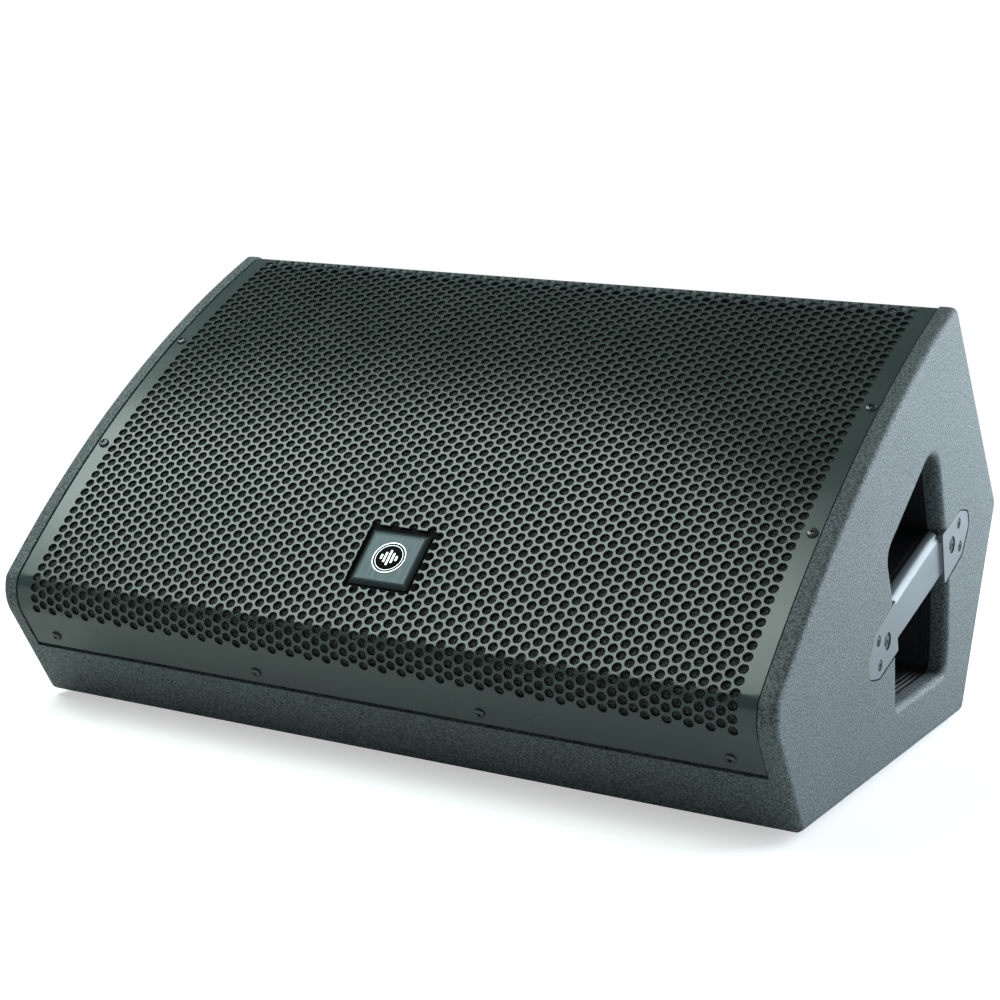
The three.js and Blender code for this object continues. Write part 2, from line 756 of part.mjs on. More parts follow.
// Local X runs across, Y up the chord of the front face from the nose, Z out of the baffle.
const chordStep = apex.clone().sub(nose).normalize();
const faceOutward = faceInward.clone().negate();
const baffleGroup = faceGroup(
  nose.clone().addScaledVector(faceInward, baffleDepth), chordStep, faceOutward);
cabinet.add(baffleGroup);

const middle = chordLength / 2;

function circleHole(x, y, radius, segments = 48) {
  const points = Array.from({ length: segments }, (_, i) => {
    const angle = -i / segments * 2 * Math.PI;
    return new THREE.Vector2(x + radius * Math.cos(angle), y + radius * Math.sin(angle));
  });
  return new THREE.Path(points);
}

const portPlaces = [{ name: 'port_tube_inner', x: 130, y: 75 }, { name: 'port_tube_outer', x: 270, y: 75 }];

function baffleBoard() {
  const edge = boardThickness + turnedGap + 1;
  const halfWidth = innerX - turnedGap;
  const shape = new THREE.Shape([
    new THREE.Vector2(-halfWidth, edge), new THREE.Vector2(halfWidth, edge),
    new THREE.Vector2(halfWidth, chordLength - edge), new THREE.Vector2(-halfWidth, chordLength - edge)]);
  const hornHole = roundedRing(hornMouth.halfWidth + 5, hornMouth.halfHeight + 5, 8, 0)
    .map((p) => new THREE.Vector2(p.x + hornX, p.y + middle)).reverse();
  shape.holes = [
    circleHole(wooferX, middle, basketRadius + 2),
    new THREE.Path(hornHole),
    ...portPlaces.map(({ x, y }) => circleHole(x, y, portRadius + 4, 32)),
  ];
  return new THREE.ExtrudeGeometry(shape, { depth: baffleThickness, bevelEnabled: false })
    .translate(0, 0, -baffleThickness);
}

baffleGroup.add(piece('baffle', baffleBoard(), 'plywood'));

const woofer = new THREE.Group();
woofer.position.set(wooferX, middle, 0);
baffleGroup.add(woofer);

const magnetFace = -108.3;
const gapFloor = -140;

function wooferBasket() {
  const shell = turned([
    [172, 4.3], [172, -17], [98, -103], [60, -103], [60, -108], [102, -108], [basketRadius, -20],
    [basketRadius, turnedGap], [wooferFlangeRadius, turnedGap], [wooferFlangeRadius, 4.3],
  ], 32);
  const windows = Array.from({ length: 6 }, (_, i) => (
    box(120, 70, 62, 150, 0, -60).rotateZ((i + 0.5) / 6 * 2 * Math.PI)
  ));
  return cut(shell, ...windows);
}

function wooferMagnet() {
  return turned([
    [15, -150], [92, -150], [92, gapFloor], [98, gapFloor], [98, -116], [92, -116], [92, magnetFace],
    [54.5, magnetFace], [54.5, gapFloor], [49, gapFloor], [49, magnetFace], [15, magnetFace],
  ]);
}

function wooferCone() {
  const curve = new THREE.QuadraticBezierCurve(
    new THREE.Vector2(coilRadius + 0.3, -70), new THREE.Vector2(115, -44), new THREE.Vector2(coneRadius, 1));
  const line = curve.getPoints(4);
  const wall = 1.6;
  const lower = line.map((p) => [p.x, p.y - wall]);
  const upper = line.map((p) => [p.x, p.y]).reverse();
  return turned([...lower, ...upper], 32);
}

function wooferSurround() {
  return turned(strip([
    [168.3, 1.6], [170.5, 7], [174.5, 9.6], [179, 8.4], [181.5, 5.6], [187, 5.4]], 1.2), 32);
}

function wooferSpider() {
  return turned(strip([
    [54.6, -96], [61, -98.5], [67.5, -95], [74, -98.5], [80.5, -95], [89, -101.8], [97, -102]], 0.8));
}

function voiceCoil() {
  return turned([
    [coilRadius - 1.5, -132], [coilRadius, -132], [coilRadius, -70], [coilRadius - 1.5, -70]]);
}

function dustCap() {
  const capRadius = 62;
  const edgeHeight = -63.6;
  const rise = 17;
  const wall = 1.2;
  const dome = (height) => Array.from({ length: 4 }, (_, i) => {
    const radius = capRadius * (1 - i / 3);
    return [radius, height + rise * (1 - (radius / capRadius) ** 2)];
  });
  return turned([...dome(edgeHeight - wall).reverse(), ...dome(edgeHeight)]);
}

woofer.add(piece('woofer_basket', wooferBasket(), 'darkSteel'));
woofer.add(piece('woofer_magnet', wooferMagnet(), 'ferrite'));
woofer.add(piece('woofer_surround', wooferSurround(), 'rubber'));
woofer.add(piece('woofer_spider', wooferSpider(), 'amber'));
woofer.add(piece('woofer_cone', wooferCone(), 'paper'));
woofer.add(piece('woofer_dust_cap', dustCap(), 'paper'));
woofer.add(piece('voice_coil', voiceCoil(), 'amber'));

const horn = new THREE.Group();
horn.position.set(hornX, middle, 0);
baffleGroup.add(horn);

// The horn flares from a round throat to a rounded rectangular mouth.
function hornRings(growth, extra) {
  const steps = 6;
  const rings = Array.from({ length: steps + 1 }, (_, i) => {
    const t = i / steps;
    const halfWidth = throatRadius + (hornMouth.halfWidth - throatRadius) * t ** 1.6 + growth;
    const halfHeight = throatRadius + (hornMouth.halfHeight - throatRadius) * t ** 1.3 + growth;
    return roundedRing(halfWidth, halfHeight, 2 + 6 * t, -hornLength + hornLength * t);
  });
  if (!extra) return rings;
  const first = rings[0].map((p) => p.clone().setZ(-hornLength - extra));
  const last = rings[steps].map((p) => p.clone().setZ(extra * 2));
  return [first, ...rings, last];
}

function hornBody() {
  const flange = loft([turnedGap, 5].map((z) => (
    roundedRing(hornMouth.halfWidth + 14, hornMouth.halfHeight + 14, 12, z))));
  const throat = drum(38, -hornLength, -hornLength + 6, 32);
  const neck = loft([-0.5, 1].map((z) => (
    roundedRing(hornMouth.halfWidth + 3, hornMouth.halfHeight + 3, 8, z))));
  return cut(join(loft(hornRings(3, 0)), neck, flange, throat), loft(hornRings(0, 3)));
}

function compressionDriver() {
  const front = -hornLength - turnedGap;
  return turned([
    [0, front - 60], [50, front - 60], [50, front - 54], [55, front - 52], [55, front - 15],
    [47, front - 10], [38, front], [throatRadius, front], [20, front - 38], [0, front - 38],
  ]);
}

function portTube() {
  return turned([
    [portRadius, 3.3], [portRadius, -portLength], [portRadius + 3, -portLength], [portRadius + 3, turnedGap],
    [portRadius + 8, turnedGap], [portRadius + 8, 3.3],
  ], 24);
}

horn.add(piece('horn', hornBody(), 'blackPlastic'));
horn.add(piece('compression_driver', compressionDriver(), 'darkSteel'));
portPlaces.forEach(({ name, x, y }) => {
  const mesh = piece(name, portTube(), 'blackPlastic');
  mesh.position.set(x, y, 0);
  baffleGroup.add(mesh);
});

// ---------------------------------------------------------------- internal brace

const braceX = 70;
const braceThickness = 12;

function brace() {
  const inside = [
    frontMitre.inner, rearMitre.inner, backMitre.inner,
    facePoint(faceLength - boardThickness, baffleDepth).point, bendPoint(railTop, boardThickness),
  ];
  const board = across(grown(inside, -turnedGap), braceX - braceThickness / 2, braceX + braceThickness / 2);
  const window = across(
    roundedPath([[45, 55, 16], [330, 55, 25], [375, 165, 25], [300, 262, 25], [60, 95, 25]]),
    braceX - 20, braceX + 20);
  baffleGroup.updateMatrix();
  const front = box(200, 900, 300, braceX, middle, 150 - baffleThickness - turnedGap)
    .applyMatrix4(baffleGroup.matrix);
  return cut(board, window, front);
}

cabinet.add(piece('brace', brace(), 'plywood'));

// ---------------------------------------------------------------- crossover

function crossover() {
  const board = box(150, 90, 2, 0, 0, 6);
  const legs = [[-68, -38], [68, -38], [-68, 38], [68, 38]].map(([x, y]) => (
    drum(4, 0.1, 5.5, 10).translate(x, y, 0)
  ));
  const coils = [[-45, 12], [48, -14]].map(([x, y]) => (
    cut(drum(21, 6.5, 30, 20), drum(9, 8, 31, 14)).translate(x, y, 0)
  ));
  const capacitors = [[0, 22], [0, -4], [-48, -28]].map(([x, y]) => (
    drum(8, -20, 20, 12).rotateY(Math.PI / 2).translate(x, y, 14)
  ));
  const resistors = [[42, 24], [42, 36]].map(([x, y]) => box(44, 9, 9, x, y, 11));
  return join(board, ...legs, ...coils, ...capacitors, ...resistors);
}

const crossoverMesh = piece('crossover', crossover(), 'circuit');
crossoverMesh.position.set(175, 280, boardThickness);
cabinet.add(crossoverMesh);

// ---------------------------------------------------------------- connector dish

// Local X runs across, Y up the rear lower panel from its bottom edge, Z out of it.
const rearLowerStep = rearCorner.clone().sub(bottomRear).normalize();
const rearLowerOutward = leftOf(rearCorner, bottomRear);
const dishGroup = faceGroup(bottomRear, rearLowerStep, rearLowerOutward);
const dishHeight = bottomRear.distanceTo(rearCorner) / 2;
dishGroup.position.add(new THREE.Vector3(dishX, 0, 0));
cabinet.add(dishGroup);

const dishPlate = { width: 170, height: 112, thickness: 2 };
const dishScrewPlaces = [[-77, -48], [77, -48], [-77, 48], [77, 48]];
const socketXs = [-30, 30];
const dishFloor = -dishDepth + 2;
const slotLength = 9;
const rebateGap = 0.7;

function upright(outline, low, high) {
  return new THREE.ExtrudeGeometry(new THREE.Shape(outline), { depth: high - low, bevelEnabled: false })
    .translate(0, dishHeight, low);
}

function connectorDish() {
  const plate = upright(plateShape(dishPlate.width, dishPlate.height, 6), -dishPlate.thickness, 0);
  const ring = (halfWidth, halfHeight, z) => (
    roundedRing(halfWidth, halfHeight, 10, z).map((p) => p.clone().setY(p.y + dishHeight))
  );
  const outside = loft([ring(60, 32, -dishDepth), ring(72, 43, -1)]);
  const inside = loft([ring(58, 30, dishFloor), ring(70, 41, 0.5)]);
  const socketHoles = socketXs.map((x) => drum(12.6, -50, 0, 24).translate(x, dishHeight, 0));
  const slot = box(4, slotLength, 20, 0, dishHeight, -dishDepth);
  const screwHoles = dishScrewPlaces.map(([x, y]) => shankHole(dishScrew).translate(x, y + dishHeight, 0));
  return cut(join(plate, outside), inside, ...socketHoles, slot, ...screwHoles);
}

// A four pole socket: a square flange, and a round core standing in a ring-shaped well.
function socket() {
  const flange = new THREE.ExtrudeGeometry(
    new THREE.Shape(plateShape(28, 32, 3)), { depth: 2.5, bevelEnabled: false }).translate(0, 0, turnedGap);
  const barrel = drum(12, -20, 1, 20);
  const well = cut(drum(10.4, -16, 5, 20), drum(6.6, -17, 6, 16));
  const keys = [0, 1].map((i) => box(3, 3, 20, 0, i ? 10.4 : -10.4, 0));
  return cut(join(flange, barrel), well, ...keys);
}

function switchSlider() {
  const knob = join(box(7, 4.5, 4, 0, 0, 2 + turnedGap), box(7, 1.2, 1, 0, 0, 4.3 + turnedGap));
  return join(knob, box(3, 4, 8, 0, 0, -3));
}

function rearLowerPanel() {
  dishGroup.updateMatrix();
  const rebateSize = [dishPlate.width, dishPlate.height].map((size) => size + 2 * rebateGap);
  const rebate = upright(plateShape(...rebateSize, 6 + rebateGap), -dishPlate.thickness - turnedGap, 5);
  const cutOut = upright(plateShape(147, 89, 10), -30, 1);
  const screwHoles = dishScrewPlaces.map(([x, y]) => shankHole(dishScrew).translate(x, y + dishHeight, 0));
  const tools = [rebate, cutOut, ...screwHoles].map((tool) => tool.applyMatrix4(dishGroup.matrix));
  return cut(across(rearLowerOutline, -boardX, boardX), ...tools);
}

cabinet.add(piece('rear_lower_panel', rearLowerPanel(), 'texturedPaint'));
dishGroup.add(piece('connector_dish', connectorDish(), 'darkSteel'));
['socket_input', 'socket_link'].forEach((name, i) => {
  const mesh = piece(name, socket(), 'blackPlastic');
  mesh.position.set(socketXs[i], dishHeight, dishFloor);
  dishGroup.add(mesh);
});
const switchTravel = 4;
const slider = piece('mode_switch', switchSlider(), 'zinc');
slider.position.set(0, dishHeight - switchTravel / 2, dishFloor);
dishGroup.add(slider);
dishScrewPlaces.forEach(([x, y], i) => {
  const mesh = piece(`dish_screw_${i + 1}`, screw(dishScrew), 'darkSteel');
  mesh.position.set(x, y + dishHeight, turnedGap / 2);
  dishGroup.add(mesh);
});

// ---------------------------------------------------------------- feet

const footPlaces = [[-300, 45], [300, 45], [-300, 335], [300, 335]];

function foot() {
  return turned([
    [0, -footHeight], [14, -footHeight], [16, 0], [0, 0]], 20);
}

footPlaces.forEach(([x, y], i) => {
  const mesh = piece(`foot_${i + 1}`, foot(), 'rubber');
  mesh.position.set(x, y, 0);
  cabinet.add(mesh);
});

export default wedge;
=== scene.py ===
"""Stage monitor wedge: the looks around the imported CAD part. Lengths are metres in the part's own frame."""

import json
import math

import bmesh
import bpy
import numpy as np
from mathutils import Matrix, Vector
from mathutils.geometry import delaunay_2d_cdt


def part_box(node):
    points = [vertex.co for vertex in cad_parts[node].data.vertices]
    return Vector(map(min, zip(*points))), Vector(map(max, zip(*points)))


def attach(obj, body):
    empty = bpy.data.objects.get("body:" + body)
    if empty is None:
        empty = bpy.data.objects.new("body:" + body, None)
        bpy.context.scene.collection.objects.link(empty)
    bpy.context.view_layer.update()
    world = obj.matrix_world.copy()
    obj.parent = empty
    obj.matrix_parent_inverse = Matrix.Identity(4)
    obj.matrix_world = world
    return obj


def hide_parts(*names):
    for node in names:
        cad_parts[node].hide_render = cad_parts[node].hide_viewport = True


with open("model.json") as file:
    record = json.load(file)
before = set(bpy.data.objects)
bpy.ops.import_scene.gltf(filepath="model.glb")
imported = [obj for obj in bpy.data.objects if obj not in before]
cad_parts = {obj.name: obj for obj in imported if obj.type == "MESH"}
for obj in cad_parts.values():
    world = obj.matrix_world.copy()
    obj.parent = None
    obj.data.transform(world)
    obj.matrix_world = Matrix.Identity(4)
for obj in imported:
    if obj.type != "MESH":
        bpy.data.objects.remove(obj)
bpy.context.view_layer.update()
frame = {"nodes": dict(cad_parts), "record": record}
NODES = frame["nodes"]
MM = 0.001
BODY = "cabinet"


def centre(node):
    low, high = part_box(node)
    return (low + high) / 2


# ------------------------------------------------------------------ the cabinet's side view, from the frame

OUTER_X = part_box("side_panel_right")[1].x
FOOT_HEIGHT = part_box("bottom_panel")[0].z
MIDDLE_Y = 45 * MM - centre("foot_1").y


def side(y_mm, z_mm):
    """A point of the side view, given in millimetres from the cabinet's front bottom corner."""
    return np.array([y_mm * MM - MIDDLE_Y, z_mm * MM + FOOT_HEIGHT])


BOTTOM_FRONT = side(0, 0)
NOSE = side(-67.7, 103)
APEX = side(297.7, 363.8)
REAR_CORNER = side(440.5, 178)
BOTTOM_REAR = side(379.5, 0)
FACE_BULGE = 25 * MM
NOSE_RADIUS = 12 * MM
BEND_RADIUS = 38 * MM
BEND_START = 97 * MM
GRILLE_RECESS = 1 * MM
SHEET = 1.5 * MM


def unit(vector):
    return vector / np.linalg.norm(vector)


def left_of(vector):
    return np.array([-vector[1], vector[0]])


LOWER_STEP = unit(NOSE - BOTTOM_FRONT)
LOWER_OUT = left_of(LOWER_STEP)
CHORD = np.linalg.norm(APEX - NOSE)
FACE_RADIUS = CHORD**2 / (8 * FACE_BULGE) + FACE_BULGE / 2
FACE_IN = -left_of(unit(APEX - NOSE))
FACE_CENTRE = (NOSE + APEX) / 2 + FACE_IN * (FACE_RADIUS - FACE_BULGE)
BEND_CENTRE = BOTTOM_FRONT + LOWER_STEP * BEND_START - LOWER_OUT * BEND_RADIUS


def nose_centre():
    """The centre of the nose's arc, which touches the gentle bend below it and the bulging front face."""
    between = FACE_CENTRE - BEND_CENTRE
    span = np.linalg.norm(between)
    from_bend, from_face = BEND_RADIUS - NOSE_RADIUS, FACE_RADIUS - NOSE_RADIUS
    reach = (from_bend**2 - from_face**2 + span**2) / (2 * span)
    aside = math.sqrt(from_bend**2 - reach**2)
    return BEND_CENTRE + unit(between) * reach - left_of(unit(between)) * aside


def angle_of(vector):
    return math.atan2(vector[1], vector[0]) % (2 * math.pi)


NOSE_CENTRE = nose_centre()
LOWER_ANGLE = angle_of(LOWER_OUT)
BEND_ANGLE = angle_of(NOSE_CENTRE - BEND_CENTRE)
NOSE_ANGLE = angle_of(NOSE_CENTRE - FACE_CENTRE)
CORNER_ANGLE = angle_of(NOSE - FACE_CENTRE)
APEX_ANGLE = angle_of(APEX - FACE_CENTRE)
NOSE_START = BEND_START + (LOWER_ANGLE - BEND_ANGLE) * BEND_RADIUS
FACE_START = NOSE_START + (BEND_ANGLE - NOSE_ANGLE) * NOSE_RADIUS
FRONT_LENGTH = FACE_START + (NOSE_ANGLE - APEX_ANGLE) * FACE_RADIUS


def front_point(distance, inset=0.0):
    """Point and outward direction on the front, at a distance up the outer skin from the bottom corner."""
    if distance < BEND_START:
        return BOTTOM_FRONT + LOWER_STEP * distance - LOWER_OUT * inset, LOWER_OUT
    if distance < NOSE_START:
        middle, radius, angle = BEND_CENTRE, BEND_RADIUS, LOWER_ANGLE - (distance - BEND_START) / BEND_RADIUS
    elif distance < FACE_START:
        middle, radius, angle = NOSE_CENTRE, NOSE_RADIUS, BEND_ANGLE - (distance - NOSE_START) / NOSE_RADIUS
    else:
        middle, radius, angle = FACE_CENTRE, FACE_RADIUS, NOSE_ANGLE - (distance - FACE_START) / FACE_RADIUS
    out = np.array([math.cos(angle), math.sin(angle)])
    return middle + out * (radius - inset), out


def distance_on_front(from_nose_corner):
    """Distance along the outer skin of a point given by its arc from the sharp nose corner."""
    return FACE_START + from_nose_corner - (CORNER_ANGLE - NOSE_ANGLE) * FACE_RADIUS


# ------------------------------------------------------------------ mesh helpers


def new_object(name, vertices, faces, material, smooth_angle=None):
    mesh = bpy.data.meshes.new(name)
    mesh.from_pydata([tuple(v) for v in vertices], [], faces)
    mesh.validate()
    obj = bpy.data.objects.new(name, mesh)
    bpy.context.scene.collection.objects.link(obj)
    mesh.materials.append(material)
    if smooth_angle is not None:
        smooth(obj, smooth_angle)
    return obj


def smooth(obj, degrees):
    mesh = obj.data
    mesh.polygons.foreach_set("use_smooth", [True] * len(mesh.polygons))
    mesh.set_sharp_from_angle(angle=math.radians(degrees))


def angle_shading():
    """A node group that welds a mesh and shades it smooth, with its edges above 32 degrees kept sharp."""
    group = bpy.data.node_groups.new("angle_shading", "GeometryNodeTree")
    group.interface.new_socket("Geometry", in_out="INPUT", socket_type="NodeSocketGeometry")
    group.interface.new_socket("Geometry", in_out="OUTPUT", socket_type="NodeSocketGeometry")
    nodes, links = group.nodes, group.links
    start, end = nodes.new("NodeGroupInput"), nodes.new("NodeGroupOutput")
    weld = nodes.new("GeometryNodeMergeByDistance")
    weld.inputs["Distance"].default_value = 0.02 * MM
    faces = nodes.new("GeometryNodeSetShadeSmooth")
    faces.domain = "FACE"
    edges = nodes.new("GeometryNodeSetShadeSmooth")
    edges.domain = "EDGE"
    edges.inputs["Shade Smooth"].default_value = False
    angle = nodes.new("GeometryNodeInputMeshEdgeAngle")
    sharp = nodes.new("FunctionNodeCompare")
    sharp.data_type = "FLOAT"
    sharp.operation = "GREATER_THAN"
    sharp.inputs["B"].default_value = math.radians(32)
    links.new(start.outputs[0], weld.inputs["Geometry"])
    links.new(weld.outputs["Geometry"], faces.inputs["Geometry"])
    links.new(faces.outputs["Geometry"], edges.inputs["Geometry"])
    links.new(angle.outputs["Unsigned Angle"], sharp.inputs["A"])
    links.new(sharp.outputs["Result"], edges.inputs["Selection"])
    links.new(edges.outputs["Geometry"], end.inputs[0])
    return group


def boolean(obj, cutter):
    """Cuts one object from another, and deletes the cutter."""
    modifier = obj.modifiers.new("cut", "BOOLEAN")
    modifier.operation = "DIFFERENCE"
    modifier.solver = "EXACT"
    modifier.object = cutter
    bpy.context.view_layer.update()
    evaluated = obj.evaluated_get(bpy.context.evaluated_depsgraph_get())
    result = bpy.data.meshes.new_from_object(evaluated)
    obj.modifiers.clear()
    obj.data = result
    bpy.data.objects.remove(cutter)


def drop_loose_points(obj):
    bm = bmesh.new()
    bm.from_mesh(obj.data)
    bmesh.ops.delete(bm, geom=[v for v in bm.verts if not v.link_faces], context="VERTS")
    bm.to_mesh(obj.data)
    bm.free()


def weld(obj):
    """Joins a mesh's doubled points and turns its faces outwards."""
    bm = bmesh.new()
    bm.from_mesh(obj.data)
    bmesh.ops.remove_doubles(bm, verts=bm.verts, dist=1e-7)
    bmesh.ops.recalc_face_normals(bm, faces=bm.faces)
    bm.to_mesh(obj.data)
    bm.free()


def loft(rings, cap=True):
    """Vertices and faces of a skin through closed rings of equal point counts."""
    count = len(rings[0])
    vertices = [tuple(p) for ring in rings for p in ring]
    faces = []
    for r in range(len(rings) - 1):
        for i in range(count):
            a, b = r * count + i, r * count + (i + 1) % count
            faces.append((a, b, b + count, a + count))
    if cap:
        last = (len(rings) - 1) * count
        faces.append(tuple(reversed(range(count))))
        faces.append(tuple(range(last, last + count)))
    return vertices, faces


def ring_at(radius, height, sides):
    return [(radius * math.cos(2 * math.pi * i / sides), radius * math.sin(2 * math.pi * i / sides), height)
            for i in range(sides)]


def rounded_rectangle(half_width, half_height, radius, height, steps=6):
    """A counter-clockwise ring of points of a rounded rectangle."""
    corners = [((-half_width, -half_height), radius), ((half_width, -half_height), radius),
               ((half_width, half_height), radius), ((-half_width, half_height), radius)]
    return [(x, y, height) for x, y in rounded_path(corners, steps)]


def merged(*parts):
    """Several (vertices, faces) meshes as one."""
    vertices, faces = [], []
    for part_vertices, part_faces in parts:
        base = len(vertices)
        vertices += part_vertices
        faces += [tuple(base + i for i in face) for face in part_faces]
    return vertices, faces


def axes_at(place, up, outward):
    """A matrix whose Z is outward and Y is up, at a place."""
    up, outward = Vector(up), Vector(outward)
    across = up.cross(outward)
    return Matrix.Translation(Vector(place)) @ Matrix((across, up, outward)).transposed().to_4x4()


def keep(obj, *nodes, body=BODY, slot=None):
    """Fixes a piece to its body and hides the CAD nodes it stands for."""
    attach(obj, body)
    if nodes:
        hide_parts(*nodes)
    return obj


def rounded_corner(before, corner, after, radius, steps):
    to_before, to_after = unit(before - corner), unit(after - corner)
    half = math.acos(np.clip(to_before @ to_after, -1, 1)) / 2
    middle = corner + unit(to_before + to_after) * radius / math.sin(half)
    first = corner + to_before * radius / math.tan(half) - middle
    last = corner + to_after * radius / math.tan(half) - middle
    sweep = math.atan2(first[0] * last[1] - first[1] * last[0], first @ last)
    angles = [sweep * i / steps for i in range(steps + 1)]
    return [middle + np.array([first[0] * math.cos(a) - first[1] * math.sin(a),
                               first[0] * math.sin(a) + first[1] * math.cos(a)]) for a in angles]


def rounded_path(corners, steps=8):
    """A closed outline from (point, radius) corners."""
    points = [np.asarray(p, float) for p, _ in corners]
    outline = []
    for i, (_, radius) in enumerate(corners):
        if radius:
            following = points[(i + 1) % len(points)]
            outline += rounded_corner(points[i - 1], points[i], following, radius, steps)
        else:
            outline.append(points[i])
    return outline


# ------------------------------------------------------------------ materials


def new_material(name):
    material = bpy.data.materials.new(name)
    material.use_nodes = True
    tree = material.node_tree
    return material, tree, tree.nodes["Principled BSDF"]


def add(tree, kind, **inputs):
    node = tree.nodes.new(kind)
    for key, value in inputs.items():
        if hasattr(node, key):
            setattr(node, key, value)
        else:
            node.inputs[key.replace("_", " ")].default_value = value
    return node


def mix_colour(tree, factor, first, second):
    """A colour blend of two colours or sockets by a factor socket."""
    node = tree.nodes.new("ShaderNodeMix")
    node.data_type = "RGBA"
    tree.links.new(factor, node.inputs[0])
    for socket, value in ((node.inputs[6], first), (node.inputs[7], second)):
        if isinstance(value, bpy.types.NodeSocket):
            tree.links.new(value, socket)
        else:
            socket.default_value = (*value, 1)
    return node.outputs[2]


def drive(tree, socket, value):
    """Links a value to one of the surface's inputs."""
    tree.links.new(value, tree.nodes["Principled BSDF"].inputs[socket])


def ramp(tree, factor, low, high, low_value=0.0, high_value=1.0):
    node = tree.nodes.new("ShaderNodeMapRange")
    tree.links.new(factor, node.inputs["Value"])
    node.inputs["From Min"].default_value = low
    node.inputs["From Max"].default_value = high
    node.inputs["To Min"].default_value = low_value
    node.inputs["To Max"].default_value = high_value
    return node.outputs["Result"]


def position(tree):
    return tree.nodes.new("ShaderNodeTexCoord").outputs["Object"]


def noise(tree, scale, detail=2.0, roughness=0.5, stretch=None):
    node = add(tree, "ShaderNodeTexNoise", Scale=scale, Detail=detail, Roughness=roughness)
    source = position(tree)
    if stretch:
        mapping = tree.nodes.new("ShaderNodeMapping")
        mapping.inputs["Scale"].default_value = stretch
        tree.links.new(source, mapping.inputs["Vector"])
        source = mapping.outputs["Vector"]
    tree.links.new(source, node.inputs["Vector"])
    return node.outputs["Fac"]


def bump(tree, height, distance, strength=1.0, normal=None):
    node = add(tree, "ShaderNodeBump", Strength=strength, Distance=distance)
    tree.links.new(height, node.inputs["Height"])
    if normal is not None:
        tree.links.new(normal, node.inputs["Normal"])
    return node.outputs["Normal"]


def texture_paint(name, dark, light, scale=620.0):
    """Sprayed texture paint: a fine random grain, with painted highlights on its tops and painted shade in
    its pits.
    """
    material, tree, _ = new_material(name)
    grain = noise(tree, scale, detail=4.0, roughness=0.85)
    coarse = noise(tree, 14.0, detail=2.0)
    # The grain's tops are painted light as painted glints, and its pits dark as painted shade.
    painted_glint_and_pit_shade = ramp(tree, grain, 0.43, 0.57)
    tone = mix_colour(tree, painted_glint_and_pit_shade, dark, light)
    patch = ramp(tree, coarse, 0.3, 0.7, 0.0, 0.12)
    drive(tree, "Base Color", mix_colour(tree, patch, tone, dark))
    drive(tree, "Roughness", ramp(tree, grain, 0.35, 0.65, 0.6, 0.4))
    drive(tree, "Normal", bump(tree, grain, 0.0007))
    return material


def sheet_paint(name, colour, roughness=0.42, rounding=0.0004):
    """Powder coat on sheet metal: a faint orange peel and softened edges."""
    material, tree, _ = new_material(name)
    peel = noise(tree, 900.0, detail=2.0)
    patch = noise(tree, 9.0, detail=3.0)
    darker = tuple(c * 0.8 for c in colour)
    drive(tree, "Base Color", mix_colour(tree, ramp(tree, patch, 0.3, 0.7), darker, colour))
    drive(tree, "Roughness", ramp(tree, patch, 0.3, 0.7, roughness - 0.04, roughness + 0.05))
    edge = None
    if rounding:
        edge_node = tree.nodes.new("ShaderNodeBevel")
        edge_node.samples = 4
        edge_node.inputs["Radius"].default_value = rounding
        edge = edge_node.outputs["Normal"]
    drive(tree, "Normal", bump(tree, peel, 0.00008, 0.5, edge))
    return material


def grip_material(name):
    """The grip's grey face and rounded edges, turning near black more than 12 mm inside the side face:
    painted shade of the handle recess.
    """
    material = sheet_paint(name, (0.140, 0.165, 0.180), 0.36, 0.0)
    tree = material.node_tree
    surface = tree.nodes["Principled BSDF"]
    place = tree.nodes.new("ShaderNodeSeparateXYZ")
    tree.links.new(position(tree), place.inputs[0])
    across = add(tree, "ShaderNodeMath", operation="ABSOLUTE")
    tree.links.new(place.outputs["X"], across.inputs[0])
    # From 12 to 13 mm inside the side face the grip fades to near black, as painted shade inside the recess.
    outer = ramp(tree, across.outputs[0], OUTER_X - 13 * MM, OUTER_X - 12 * MM)
    grey = surface.inputs["Base Color"].links[0].from_socket
    drive(tree, "Base Color", mix_colour(tree, outer, (0.010, 0.011, 0.013), grey))
    return material


def moulded_plastic(name, colour, roughness=0.4, grain=1500.0):
    material, tree, _ = new_material(name)
    fine = noise(tree, grain, detail=2.0)
    patch = noise(tree, 20.0, detail=3.0)
    paler = tuple(min(c * 1.4, 1) for c in colour)
    drive(tree, "Base Color", mix_colour(tree, ramp(tree, patch, 0.35, 0.75), colour, paler))
    drive(tree, "Roughness", ramp(tree, patch, 0.3, 0.7, roughness - 0.05, roughness + 0.08))
    drive(tree, "Normal", bump(tree, fine, 0.00005, 0.6))
    return material


def brushed_metal(name, colour, roughness=0.3, along=(1500.0, 40.0, 40.0)):
    material, tree, surface = new_material(name)
    lines = noise(tree, 1.0, detail=4.0, roughness=0.7, stretch=along)
    darker = tuple(c * 0.65 for c in colour)
    drive(tree, "Base Color", mix_colour(tree, ramp(tree, lines, 0.3, 0.7), darker, colour))
    drive(tree, "Roughness", ramp(tree, lines, 0.3, 0.7, roughness + 0.1, roughness - 0.05))
    drive(tree, "Normal", bump(tree, lines, 0.00004, 0.5))
    surface.inputs["Metallic"].default_value = 0.9
    return material


